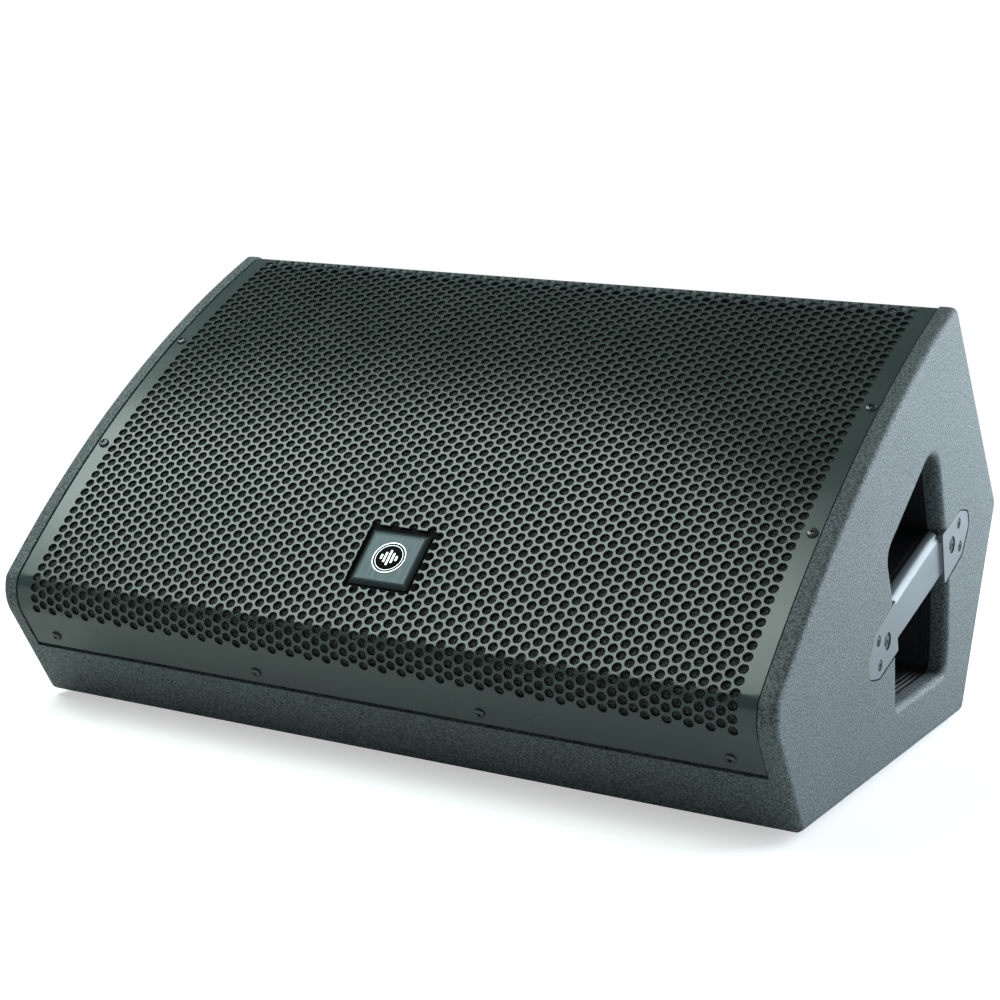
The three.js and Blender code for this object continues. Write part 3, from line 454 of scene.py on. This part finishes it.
def foam_material(name):
    """Open-cell foam: paler strands, with painted shade in the small cells between them."""
    material, tree, surface = new_material(name)
    cells = add(tree, "ShaderNodeTexVoronoi", Scale=700.0)
    tree.links.new(position(tree), cells.inputs["Vector"])
    # The middles of the cells are painted dark, as painted shade in the foam's pores.
    painted_cell_shade = ramp(tree, cells.outputs["Distance"], 0.15, 0.75)
    grain = noise(tree, 260.0, detail=4.0, roughness=0.7)
    tone = mix_colour(tree, painted_cell_shade, (0.001, 0.001, 0.001), (0.09, 0.098, 0.088))
    patch = ramp(tree, grain, 0.4, 0.7, 0.0, 0.7)
    drive(tree, "Base Color", mix_colour(tree, patch, tone, (0.004, 0.004, 0.004)))
    surface.inputs["Roughness"].default_value = 1.0
    surface.inputs["Specular IOR Level"].default_value = 0.1
    drive(tree, "Normal", bump(tree, cells.outputs["Distance"], 0.0012))
    return material


def rubber_material(name):
    material, tree, surface = new_material(name)
    fine = noise(tree, 800.0, detail=3.0)
    patch = noise(tree, 60.0, detail=3.0)
    worn = ramp(tree, patch, 0.4, 0.75)
    drive(tree, "Base Color", mix_colour(tree, worn, (0.012, 0.012, 0.012), (0.03, 0.029, 0.027)))
    surface.inputs["Roughness"].default_value = 0.8
    drive(tree, "Normal", bump(tree, fine, 0.0001, 0.7))
    return material


def plywood_material(name):
    """Birch plywood stained black, with the grain along X."""
    material, tree, surface = new_material(name)
    grain = noise(tree, 1.0, detail=5.0, roughness=0.65, stretch=(12.0, 240.0, 240.0))
    streaks = ramp(tree, grain, 0.35, 0.7)
    drive(tree, "Base Color", mix_colour(tree, streaks, (0.02, 0.017, 0.013), (0.06, 0.05, 0.04)))
    surface.inputs["Roughness"].default_value = 0.75
    drive(tree, "Normal", bump(tree, grain, 0.0002, 0.6))
    return material


PAINT = texture_paint("texture_paint", (0.005, 0.009, 0.009), (0.155, 0.200, 0.203))
GRIP_PAINT = grip_material("grip_paint")
GRIP_SCREW_PAINT = sheet_paint("grip_screw_paint", (0.085, 0.10, 0.108), 0.7, 0.0)
GRILLE_PAINT = sheet_paint("grille_paint", (0.040, 0.060, 0.056), 0.25)
FOAM = foam_material("acoustic_foam")
BADGE = brushed_metal("badge_metal", (0.052, 0.066, 0.071), 0.4)
BADGE_MARK = brushed_metal("badge_mark", (0.62, 0.64, 0.65), 0.25)
BLACK = moulded_plastic("black_plastic", (0.012, 0.012, 0.013), 0.35)
MATTE_BLACK = moulded_plastic("matte_black_plastic", (0.003, 0.003, 0.003), 0.85)
MATTE_BLACK.node_tree.nodes["Principled BSDF"].inputs["Specular IOR Level"].default_value = 0.1
SCREW = brushed_metal("blackened_steel", (0.12, 0.12, 0.125), 0.35, (400.0, 400.0, 400.0))
STEEL = sheet_paint("black_sheet_steel", (0.018, 0.018, 0.019), 0.4, 0.0)
RUBBER = rubber_material("rubber")
PLYWOOD = plywood_material("stained_plywood")
CONE = moulded_plastic("cone_paper", (0.02, 0.02, 0.02), 0.8, 500.0)
FERRITE = moulded_plastic("ferrite", (0.05, 0.05, 0.055), 0.6, 900.0)
AMBER = moulded_plastic("amber_cloth", (0.30, 0.17, 0.06), 0.8, 600.0)
CIRCUIT = moulded_plastic("circuit_board", (0.02, 0.09, 0.04), 0.4, 700.0)
SWITCH_GREY = moulded_plastic("switch_plastic", (0.35, 0.35, 0.34), 0.4)

BY_SLOT = {
    "textured_paint": PAINT, "bare_plywood": PLYWOOD, "grille_paint": GRILLE_PAINT, "foam": FOAM,
    "badge_metal": BADGE, "black_plastic": BLACK, "grip_paint": GRIP_PAINT, "dark_screw": SCREW,
    "dark_steel": STEEL, "ferrite": FERRITE, "rubber": RUBBER, "cone_paper": CONE, "amber_cloth": AMBER,
    "circuit": CIRCUIT, "switch_plastic": SWITCH_GREY,
}


def dress_cad_nodes():
    """Every CAD node gets its slot's material, except the badge carrier, which is painted matte black as
    painted shade in the gap round the badge; each gets smooth shading across its shallow angles.
    """
    group = angle_shading()
    for part in frame["record"]["subparts"]:
        node = NODES[part["node"]]
        node.data.materials.clear()
        # The badge carrier, seen only through the gap round the badge, is painted matte black as painted
        # shade in that gap.
        gap_shade_carrier = part["node"] == "badge_carrier"
        node.data.materials.append(MATTE_BLACK if gap_shade_carrier else BY_SLOT[part["material_slot"]])
        if "custom_normal" in node.data.attributes:
            node.data.attributes.remove(node.data.attributes["custom_normal"])
        shading = node.modifiers.new("angle_shading", "NODES")
        shading.node_group = group
        weighted = node.modifiers.new("weighted_normals", "WEIGHTED_NORMAL")
        weighted.keep_sharp = True


# ------------------------------------------------------------------ grille

PITCH = 10 * MM
COLUMN = PITCH * math.sqrt(3) / 2
HOLE_RADIUS = 4.15 * MM
HOLE_SIDES = 12
HALF_COLUMNS = 37
FIRST_ROW = 104.5 * MM
GRILLE_HALF_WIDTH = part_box("grille")[1].x
GRILLE_START = 61 * MM
GRILLE_END = FRONT_LENGTH - 6 * MM
BADGE_X = centre("badge").x
BADGE_DISTANCE = distance_on_front(86 * MM)
BADGE_WIDTH = 54.6 * MM
BADGE_HEIGHT = 53 * MM
BADGE_GAP = 3.3 * MM
WINDOW = (BADGE_X - BADGE_WIDTH / 2 - BADGE_GAP, BADGE_X + BADGE_WIDTH / 2 + BADGE_GAP,
          BADGE_DISTANCE - BADGE_HEIGHT / 2 - BADGE_GAP, BADGE_DISTANCE + BADGE_HEIGHT / 2 + 4.5 * MM)


def column_start(column):
    """The distance of the lowest hole in a column: every other column starts half a pitch higher."""
    return FIRST_ROW + ((column + 1) % 2) * PITCH / 2


def hole_centres():
    centres = []
    for column in range(-HALF_COLUMNS, HALF_COLUMNS + 1):
        row = column_start(column)
        while row - HOLE_RADIUS < GRILLE_END:
            centres.append((column * COLUMN, row))
            row += PITCH
    x0, x1, s0, s1 = WINDOW
    return np.array([c for c in centres if not (
        x0 + HOLE_RADIUS < c[0] < x1 - HOLE_RADIUS and s0 + HOLE_RADIUS < c[1] < s1 - HOLE_RADIUS)])


def flat_sheet():
    """The unrolled sheet as (x, distance) points and triangles, with its holes and window left open."""
    centres = hole_centres()
    angles = (np.arange(HOLE_SIDES) + 0.5) * 2 * np.pi / HOLE_SIDES
    ring = np.stack([np.cos(angles), np.sin(angles)], axis=1) * HOLE_RADIUS
    points = (centres[:, None, :] + ring[None, :, :]).reshape(-1, 2)
    edges = []
    for i in range(len(centres)):
        base = i * HOLE_SIDES
        edges += [(base + k, base + (k + 1) % HOLE_SIDES) for k in range(HOLE_SIDES)]
    points = [tuple(p) for p in points]

    def add_loop(loop):
        start = len(points)
        points.extend(loop)
        count = len(loop)
        edges.extend((start + k, start + (k + 1) % count) for k in range(count))

    rows = np.arange(GRILLE_START, GRILLE_END, 4 * MM)
    left = [(-GRILLE_HALF_WIDTH, s) for s in rows] + [(-GRILLE_HALF_WIDTH, GRILLE_END)]
    right = [(-x, s) for x, s in left]
    add_loop(right + left[::-1])
    x0, x1, s0, s1 = WINDOW
    add_loop([(x0, s0), (x1, s0), (x1, s1), (x0, s1)])

    result = delaunay_2d_cdt([Vector(p) for p in points], edges, [], 0, 1e-7)
    flat = np.array([tuple(v) for v in result[0]])
    triangles = np.array([tuple(f) for f in result[2]])
    middles = flat[triangles].mean(axis=1)
    inside = (np.abs(middles[:, 0]) < GRILLE_HALF_WIDTH) & (middles[:, 1] > GRILLE_START)
    inside &= middles[:, 1] < GRILLE_END
    in_window = (middles[:, 0] > x0) & (middles[:, 0] < x1) & (middles[:, 1] > s0) & (middles[:, 1] < s1)
    inside &= ~in_window
    # A triangle lies in a hole when its middle is inside the nearest hole's polygon.
    column = np.round(middles[:, 0] / COLUMN)
    apothem = HOLE_RADIUS * math.cos(math.pi / HOLE_SIDES)
    normals = np.arange(HOLE_SIDES) * 2 * np.pi / HOLE_SIDES
    in_hole = np.zeros(len(middles), bool)
    for step in (-1, 0, 1):
        near = column + step
        start = column_start(near)
        row = np.maximum(np.round((middles[:, 1] - start) / PITCH), 0)
        dx = middles[:, 0] - near * COLUMN
        ds = middles[:, 1] - (start + row * PITCH)
        reach = np.max([dx * math.cos(a) + ds * math.sin(a) for a in normals], axis=0)
        in_hole |= (reach < apothem - 1e-6) & (np.abs(near) <= HALF_COLUMNS)
    return flat, triangles[inside & ~in_hole]


def wrap(flat, inset):
    """Places unrolled (x, distance) points on the front, at an inset below the cabinet's outer skin."""
    distances, back = np.unique(np.round(flat[:, 1], 9), return_inverse=True)
    places = np.array([front_point(s, inset)[0] for s in distances])[back]
    return np.column_stack([flat[:, 0], places])


def grille_sheet():
    flat, triangles = flat_sheet()
    count = len(flat)
    front = wrap(flat, GRILLE_RECESS)
    behind = wrap(flat, GRILLE_RECESS + SHEET)
    a, b, c = flat[triangles[:, 0]], flat[triangles[:, 1]], flat[triangles[:, 2]]
    turn = (b[:, 0] - a[:, 0]) * (c[:, 1] - a[:, 1]) - (b[:, 1] - a[:, 1]) * (c[:, 0] - a[:, 0])
    triangles = np.where((turn < 0)[:, None], triangles[:, ::-1], triangles)
    pairs = np.concatenate([triangles[:, [0, 1]], triangles[:, [1, 2]], triangles[:, [2, 0]]])
    key = pairs[:, 0].astype(np.int64) * count + pairs[:, 1]
    reverse = pairs[:, 1].astype(np.int64) * count + pairs[:, 0]
    rim = pairs[~np.isin(key, reverse)]
    walls = np.column_stack([rim[:, 1], rim[:, 0], rim[:, 0] + count, rim[:, 1] + count])
    faces = triangles.tolist() + (triangles[:, ::-1] + count).tolist() + walls.tolist()
    sheet = new_object("grille_perforated_sheet", np.vstack([front, behind]), faces, GRILLE_PAINT, 30)
    drop_loose_points(sheet)
    smooth(sheet, 30)
    return keep(sheet, "grille", slot="grille_paint")


def grille_foam():
    """Foam stretched behind the holes: a closed pad with an uneven surface."""
    half_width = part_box("grille_foam")[1].x
    start, end = 99 * MM, FRONT_LENGTH - 19 * MM
    step = 5 * MM
    xs = np.linspace(-half_width, half_width, int(2 * half_width / step))
    rows = np.linspace(start, end, int((end - start) / step))
    x0, x1, s0, s1 = WINDOW
    margin = 5 * MM
    rng = np.random.default_rng(4)
    wave = rng.uniform(0, 0.5 * MM, (len(rows), len(xs)))
    vertices = []
    for layer, inset in enumerate((GRILLE_RECESS + SHEET + 0.3 * MM, GRILLE_RECESS + SHEET + 4.3 * MM)):
        for j, s in enumerate(rows):
            for i, x in enumerate(xs):
                (y, z), _ = front_point(s, inset + (wave[j, i] if layer == 0 else 0))
                vertices.append((x, y, z))
    across, layer_size = len(xs), len(xs) * len(rows)
    faces = []
    kept = np.ones((len(rows) - 1, len(xs) - 1), bool)
    for j in range(len(rows) - 1):
        for i in range(len(xs) - 1):
            x, s = (xs[i] + xs[i + 1]) / 2, (rows[j] + rows[j + 1]) / 2
            kept[j, i] = not (x0 - margin < x < x1 + margin and s0 - margin < s < s1 + margin)
    for j in range(len(rows) - 1):
        for i in range(len(xs) - 1):
            if not kept[j, i]:
                continue
            a, b = j * across + i, (j + 1) * across + i
            faces.append((a, a + 1, b + 1, b))
            faces.append((a + layer_size, b + layer_size, b + 1 + layer_size, a + 1 + layer_size))
            for open_side, (p, q) in (
                    (j == 0 or not kept[j - 1, i], (a, a + 1)),
                    (j == len(rows) - 2 or not kept[j + 1, i], (b + 1, b)),
                    (i == 0 or not kept[j, i - 1], (b, a)),
                    (i == len(xs) - 2 or not kept[j, i + 1], (a + 1, b + 1))):
                if open_side:
                    faces.append((q, p, p + layer_size, q + layer_size))
    foam = new_object("grille_foam_pad", vertices, faces, FOAM, 60)
    drop_loose_points(foam)
    smooth(foam, 60)
    return keep(foam, "grille_foam", slot="foam")


# ------------------------------------------------------------------ badge


def badge():
    """A bevelled metal plate in the grille's window, with a round enamel disc and a plain five bar mark."""
    (y, z), out = front_point(BADGE_DISTANCE, GRILLE_RECESS)
    place = axes_at((BADGE_X, y, z), (0, out[1], -out[0]), (0, out[0], out[1]))
    # Inset from the plate's edge, height over the sheet and corner radius of each ring, in millimetres.
    sections = ((0, -2.4, 1.0), (0, -1.65, 1.0), (0.2, -1.4, 0.9), (2.2, -0.3, 0.7), (4.2, 0.5, 0.5),
                (4.6, 0.6, 0.5), (5.0, 0.57, 0.5), (5.4, 0.4, 0.5), (6.2, 0.37, 0.6), (10, 0.6, 2.5),
                (16, 0.75, 5), (22, 0.8, 3.5))
    half_width, half_height = BADGE_WIDTH / 2, BADGE_HEIGHT / 2
    rings = [rounded_rectangle(half_width - inset * MM, half_height - inset * MM, radius * MM, height * MM)
             for inset, height, radius in sections]
    plate = new_object("badge_plate", *loft(rings), BADGE, 30)
    plate.matrix_world = place
    keep(plate, "badge", slot="badge_metal")

    face = 0.6 * MM
    sides = 72
    disc = [ring_at(r * MM, face + h * MM, sides)
            for r, h in ((13.6, -1), (13.6, 0.35), (13.4, 0.45), (6, 0.5), (1, 0.5))]
    enamel = new_object("badge_enamel_disc", *loft(disc), MATTE_BLACK, 30)
    enamel.matrix_world = place
    keep(enamel, slot="black_plastic")

    hoops = []
    for inner, outer, low, high in ((13.7, 14.7, -0.3, 0.6), (11.6, 12.2, 0.3, 0.62)):
        section = ((inner, low), (outer, low), (outer, high - 0.1), (outer - 0.1, high), (inner + 0.1, high),
                   (inner, high - 0.1), (inner, low))
        hoops.append(loft([ring_at(r * MM, face + h * MM, sides) for r, h in section], cap=False))
    for i, length in enumerate((5, 10, 15, 10, 5)):
        x = (i - 2) * 3.4 * MM
        bar = []
        for inset, h in ((1.0, 0.3), (1.0, 0.62), (0.85, 0.72)):
            half = (length / 2 - 1 + inset) * MM
            ring = rounded_rectangle(inset * MM, half, inset * 0.98 * MM, face + h * MM, 5)
            bar.append([(px + x, py, pz) for px, py, pz in ring])
        hoops.append(loft(bar))
    mark = new_object("badge_mark", *merged(*hoops), BADGE_MARK, 30)
    weld(mark)
    smooth(mark, 30)
    mark.matrix_world = place
    keep(mark, slot="badge_metal")


# ------------------------------------------------------------------ screws


def screw_mesh(name, radius, shank_length, material, hexagon=False):
    """A pan head screw with a cross or hexagon recess: its crown is at the origin, and Z points out."""
    # Radius and height of each ring, as shares of the head's radius.
    profile = ((0.02, 0), (0.3, -0.005), (0.55, -0.03), (0.75, -0.085), (0.88, -0.16), (0.96, -0.26),
               (1, -0.38), (1, -0.5), (0.97, -0.53), (0.47, -0.53))
    rings = [ring_at(r * radius, h * radius, 40) for r, h in reversed(profile)]
    rings.insert(0, ring_at(0.45 * radius, -0.53 * radius - shank_length, 40))
    obj = new_object(name, *loft(rings), material)
    if hexagon:
        socket = loft([ring_at(0.42 * radius, h * radius, 6) for h in (-0.9, 0.3)])
        boolean(obj, new_object("cutter", *socket, material))
    half_slot, half_reach, depth = 0.15 * radius, 0.56 * radius, 0.42 * radius
    for turn in () if hexagon else (0, math.pi / 2):
        ends = []
        for share, height in ((0.45, -depth), (1.0, 0.0), (1.35, 0.3 * radius)):
            ends.append([(x * half_reach * share, y * half_slot * (0.6 + 0.4 * share), height)
                         for x, y in ((-1, -1), (1, -1), (1, 1), (-1, 1))])
        cutter = new_object("cutter", *loft(ends), material)
        cutter.rotation_euler.z = turn
        boolean(obj, cutter)
    smooth(obj, 32)
    mesh = obj.data
    bpy.data.objects.remove(obj)
    return mesh


def head_top(node, outward):
    """The middle of a CAD screw's crown."""
    points = np.unique(np.round([tuple(v.co) for v in NODES[node].data.vertices], 6), axis=0)
    outward = np.asarray(outward, float)
    heights = points @ outward
    return (points - np.outer(heights, outward)).mean(axis=0) + outward * heights.max()


def place_screw(name, mesh, node, outward, turn):
    screw = bpy.data.objects.new(name, mesh)
    bpy.context.scene.collection.objects.link(screw)
    spin = Matrix.Rotation(turn, 4, "Z")
    aim = Vector(outward).to_track_quat("Z", "Y").to_matrix().to_4x4()
    screw.matrix_world = Matrix.Translation(Vector(head_top(node, outward))) @ aim @ spin
    keep(screw, node, slot="dark_screw")


REAR_STEP = unit(REAR_CORNER - BOTTOM_REAR)
REAR_OUT = -left_of(REAR_STEP)


def screws():
    rng = np.random.default_rng(7)
    grille_head = screw_mesh("grille_screw_head", 4.55 * MM, 3 * MM, SCREW)
    grip_head = screw_mesh("grip_screw_head", 4.3 * MM, 3 * MM, GRIP_SCREW_PAINT, hexagon=True)
    dish_head = screw_mesh("dish_screw_head", 3.5 * MM, 3 * MM, SCREW)
    for node in sorted(NODES):
        turn = float(rng.uniform(0, math.pi))
        middle = centre(node)
        if node.startswith("grille_screw"):
            on_face = middle.z > NOSE[1]
            out = unit(np.array([middle.y, middle.z]) - FACE_CENTRE) if on_face else LOWER_OUT
            place_screw(node + "_looks", grille_head, node, (0, *out), turn)
        elif node.startswith("grip_screw"):
            place_screw(node + "_looks", grip_head, node, (math.copysign(1, middle.x), 0, 0), turn)
        elif node.startswith("dish_screw"):
            place_screw(node + "_looks", dish_head, node, (0, *REAR_OUT), turn)


# ------------------------------------------------------------------ feet


def feet():
    """Rubber feet with a rounded rim and a screw sunk in the middle of each."""
    # Radius and depth of each ring, in millimetres.
    profile = ((4, 0), (16, 0), (16, 0.8), (15.6, 3.6), (15, 5.2), (14.2, 5.85), (13.2, 6), (8.2, 6),
               (7.6, 5.8), (7.2, 5.2), (7, 2.4), (4, 2.4), (4, 0))
    for i in range(1, 5):
        node = f"foot_{i}"
        middle = centre(node)
        rings = [ring_at(r * MM, -h * MM, 48) for r, h in reversed(profile)]
        vertices, faces = loft(rings, cap=False)
        foot = new_object(node + "_looks", vertices, faces, RUBBER)
        weld(foot)
        smooth(foot, 30)
        foot.location = (middle.x, middle.y, FOOT_HEIGHT)
        keep(foot, node, slot="rubber")
        screw = bpy.data.objects.new(node + "_screw", FOOT_SCREW)
        bpy.context.scene.collection.objects.link(screw)
        screw.rotation_euler.x = math.pi
        screw.location = (middle.x, middle.y, FOOT_HEIGHT - 4.6 * MM)
        keep(screw, slot="dark_screw")


# ------------------------------------------------------------------ camera, light and floor

WORLD_COLOUR = (1.0, 1.0, 1.0)
WORLD_STRENGTH = 0.13

# Name, place, target, size, watts and colour of each softbox.
SOFTBOXES = (
    ("rear_right", (1.9, 2.1, 0.85), (0.2, 0, 0.15), 1.9, 126, (0.78, 0.91, 1.0)),
    ("overhead_left", (-0.85, -0.45, 1.6), (-0.1, -0.1, 0.15), 1.25, 32, (0.84, 1.0, 0.94)),
    ("right", (2.6, -0.4, 1.0), (0.2, 0, 0.15), 1.3, 5, (0.84, 0.94, 1.0)),
    ("rim", (0.8, 2.2, 1.35), (0.35, 0, 0.25), 1.0, 12, (0.92, 0.90, 1.0)),
)


def floor_paper():
    """Pale paper that looks whiter to the camera than to the cabinet, and fades into the white behind it."""
    material, tree, surface = new_material("floor_paper")
    surface.inputs["Base Color"].default_value = (0.84, 0.84, 0.84, 1)
    surface.inputs["Roughness"].default_value = 0.9
    surface.inputs["Specular IOR Level"].default_value = 0.0
    surface.inputs["Emission Color"].default_value = (1, 1, 1, 1)
    seen = tree.nodes.new("ShaderNodeLightPath").outputs["Is Camera Ray"]
    lift = add(tree, "ShaderNodeMath", operation="MULTIPLY")
    tree.links.new(seen, lift.inputs[0])
    lift.inputs[1].default_value = 0.5
    drive(tree, "Emission Strength", lift.outputs[0])
    distance = add(tree, "ShaderNodeVectorMath", operation="LENGTH")
    tree.links.new(position(tree), distance.inputs[0])
    fade = add(tree, "ShaderNodeMath", operation="MULTIPLY")
    tree.links.new(ramp(tree, distance.outputs["Value"], 0.7, 1.3), fade.inputs[0])
    tree.links.new(seen, fade.inputs[1])
    through = tree.nodes.new("ShaderNodeBsdfTransparent")
    either = tree.nodes.new("ShaderNodeMixShader")
    tree.links.new(fade.outputs[0], either.inputs[0])
    tree.links.new(surface.outputs[0], either.inputs[1])
    tree.links.new(through.outputs[0], either.inputs[2])
    tree.links.new(either.outputs[0], tree.nodes["Material Output"].inputs["Surface"])
    return material


def stage_and_light():
    scene = bpy.context.scene
    scene.view_settings.view_transform = "Standard"
    world = bpy.data.worlds.new("studio")
    world.use_nodes = True
    tree = world.node_tree
    seen = tree.nodes["Background"]
    seen.inputs["Color"].default_value = (1, 1, 1, 1)
    lighting = tree.nodes.new("ShaderNodeBackground")
    lighting.inputs["Color"].default_value = (*WORLD_COLOUR, 1)
    lighting.inputs["Strength"].default_value = WORLD_STRENGTH
    ray = tree.nodes.new("ShaderNodeLightPath")
    either = tree.nodes.new("ShaderNodeMixShader")
    tree.links.new(ray.outputs["Is Camera Ray"], either.inputs[0])
    tree.links.new(lighting.outputs[0], either.inputs[1])
    tree.links.new(seen.outputs[0], either.inputs[2])
    tree.links.new(either.outputs[0], tree.nodes["World Output"].inputs["Surface"])
    scene.world = world

    floor_material = floor_paper()
    half = 4.0
    floor = new_object("floor", [(-half, -half, 0), (half, -half, 0), (half, half, 0), (-half, half, 0)],
                       [(0, 1, 2, 3)], floor_material)

    def area_light(name, place, target, size, power, colour=(1, 1, 1)):
        data = bpy.data.lights.new(name, "AREA")
        data.energy = power
        data.size = size
        data.color = colour
        light = bpy.data.objects.new(name, data)
        light.location = place
        light.rotation_euler = (Vector(target) - Vector(place)).to_track_quat("-Z", "Y").to_euler()
        scene.collection.objects.link(light)

    for softbox in SOFTBOXES:
        area_light(*softbox)


# The camera that sees the cabinet as the photograph does. Its place and axes are in cabinet widths, from the
# cabinet's bottom corner at its left end.
CAMERA_PLACE = (1.7780, -2.0517, 0.7741)
CAMERA_FORWARD = (-0.4773, 0.8572, -0.1935)
CAMERA_UP = (-0.1119, 0.1591, 0.9809)
CAMERA_LENS = 79.6


def camera():
    width = 2 * OUTER_X
    x, y, z = (c * width for c in CAMERA_PLACE)
    data = bpy.data.cameras.new("camera")
    data.lens = CAMERA_LENS
    data.sensor_width = 36
    data.clip_start = 0.05
    obj = bpy.data.objects.new("camera", data)
    backward = -Vector(CAMERA_FORWARD).normalized()
    right = Vector(CAMERA_UP).cross(backward).normalized()
    up = backward.cross(right)
    turn = Matrix((right, up, backward)).transposed().to_4x4()
    place = Vector((x - OUTER_X, y - MIDDLE_Y, z + FOOT_HEIGHT))
    obj.matrix_world = Matrix.Translation(place) @ turn
    bpy.context.scene.collection.objects.link(obj)
    bpy.context.scene.camera = obj


dress_cad_nodes()
grille_sheet()
grille_foam()
badge()
screws()
FOOT_SCREW = screw_mesh("foot_screw_head", 4.5 * MM, 2 * MM, SCREW)
feet()
stage_and_light()
camera()
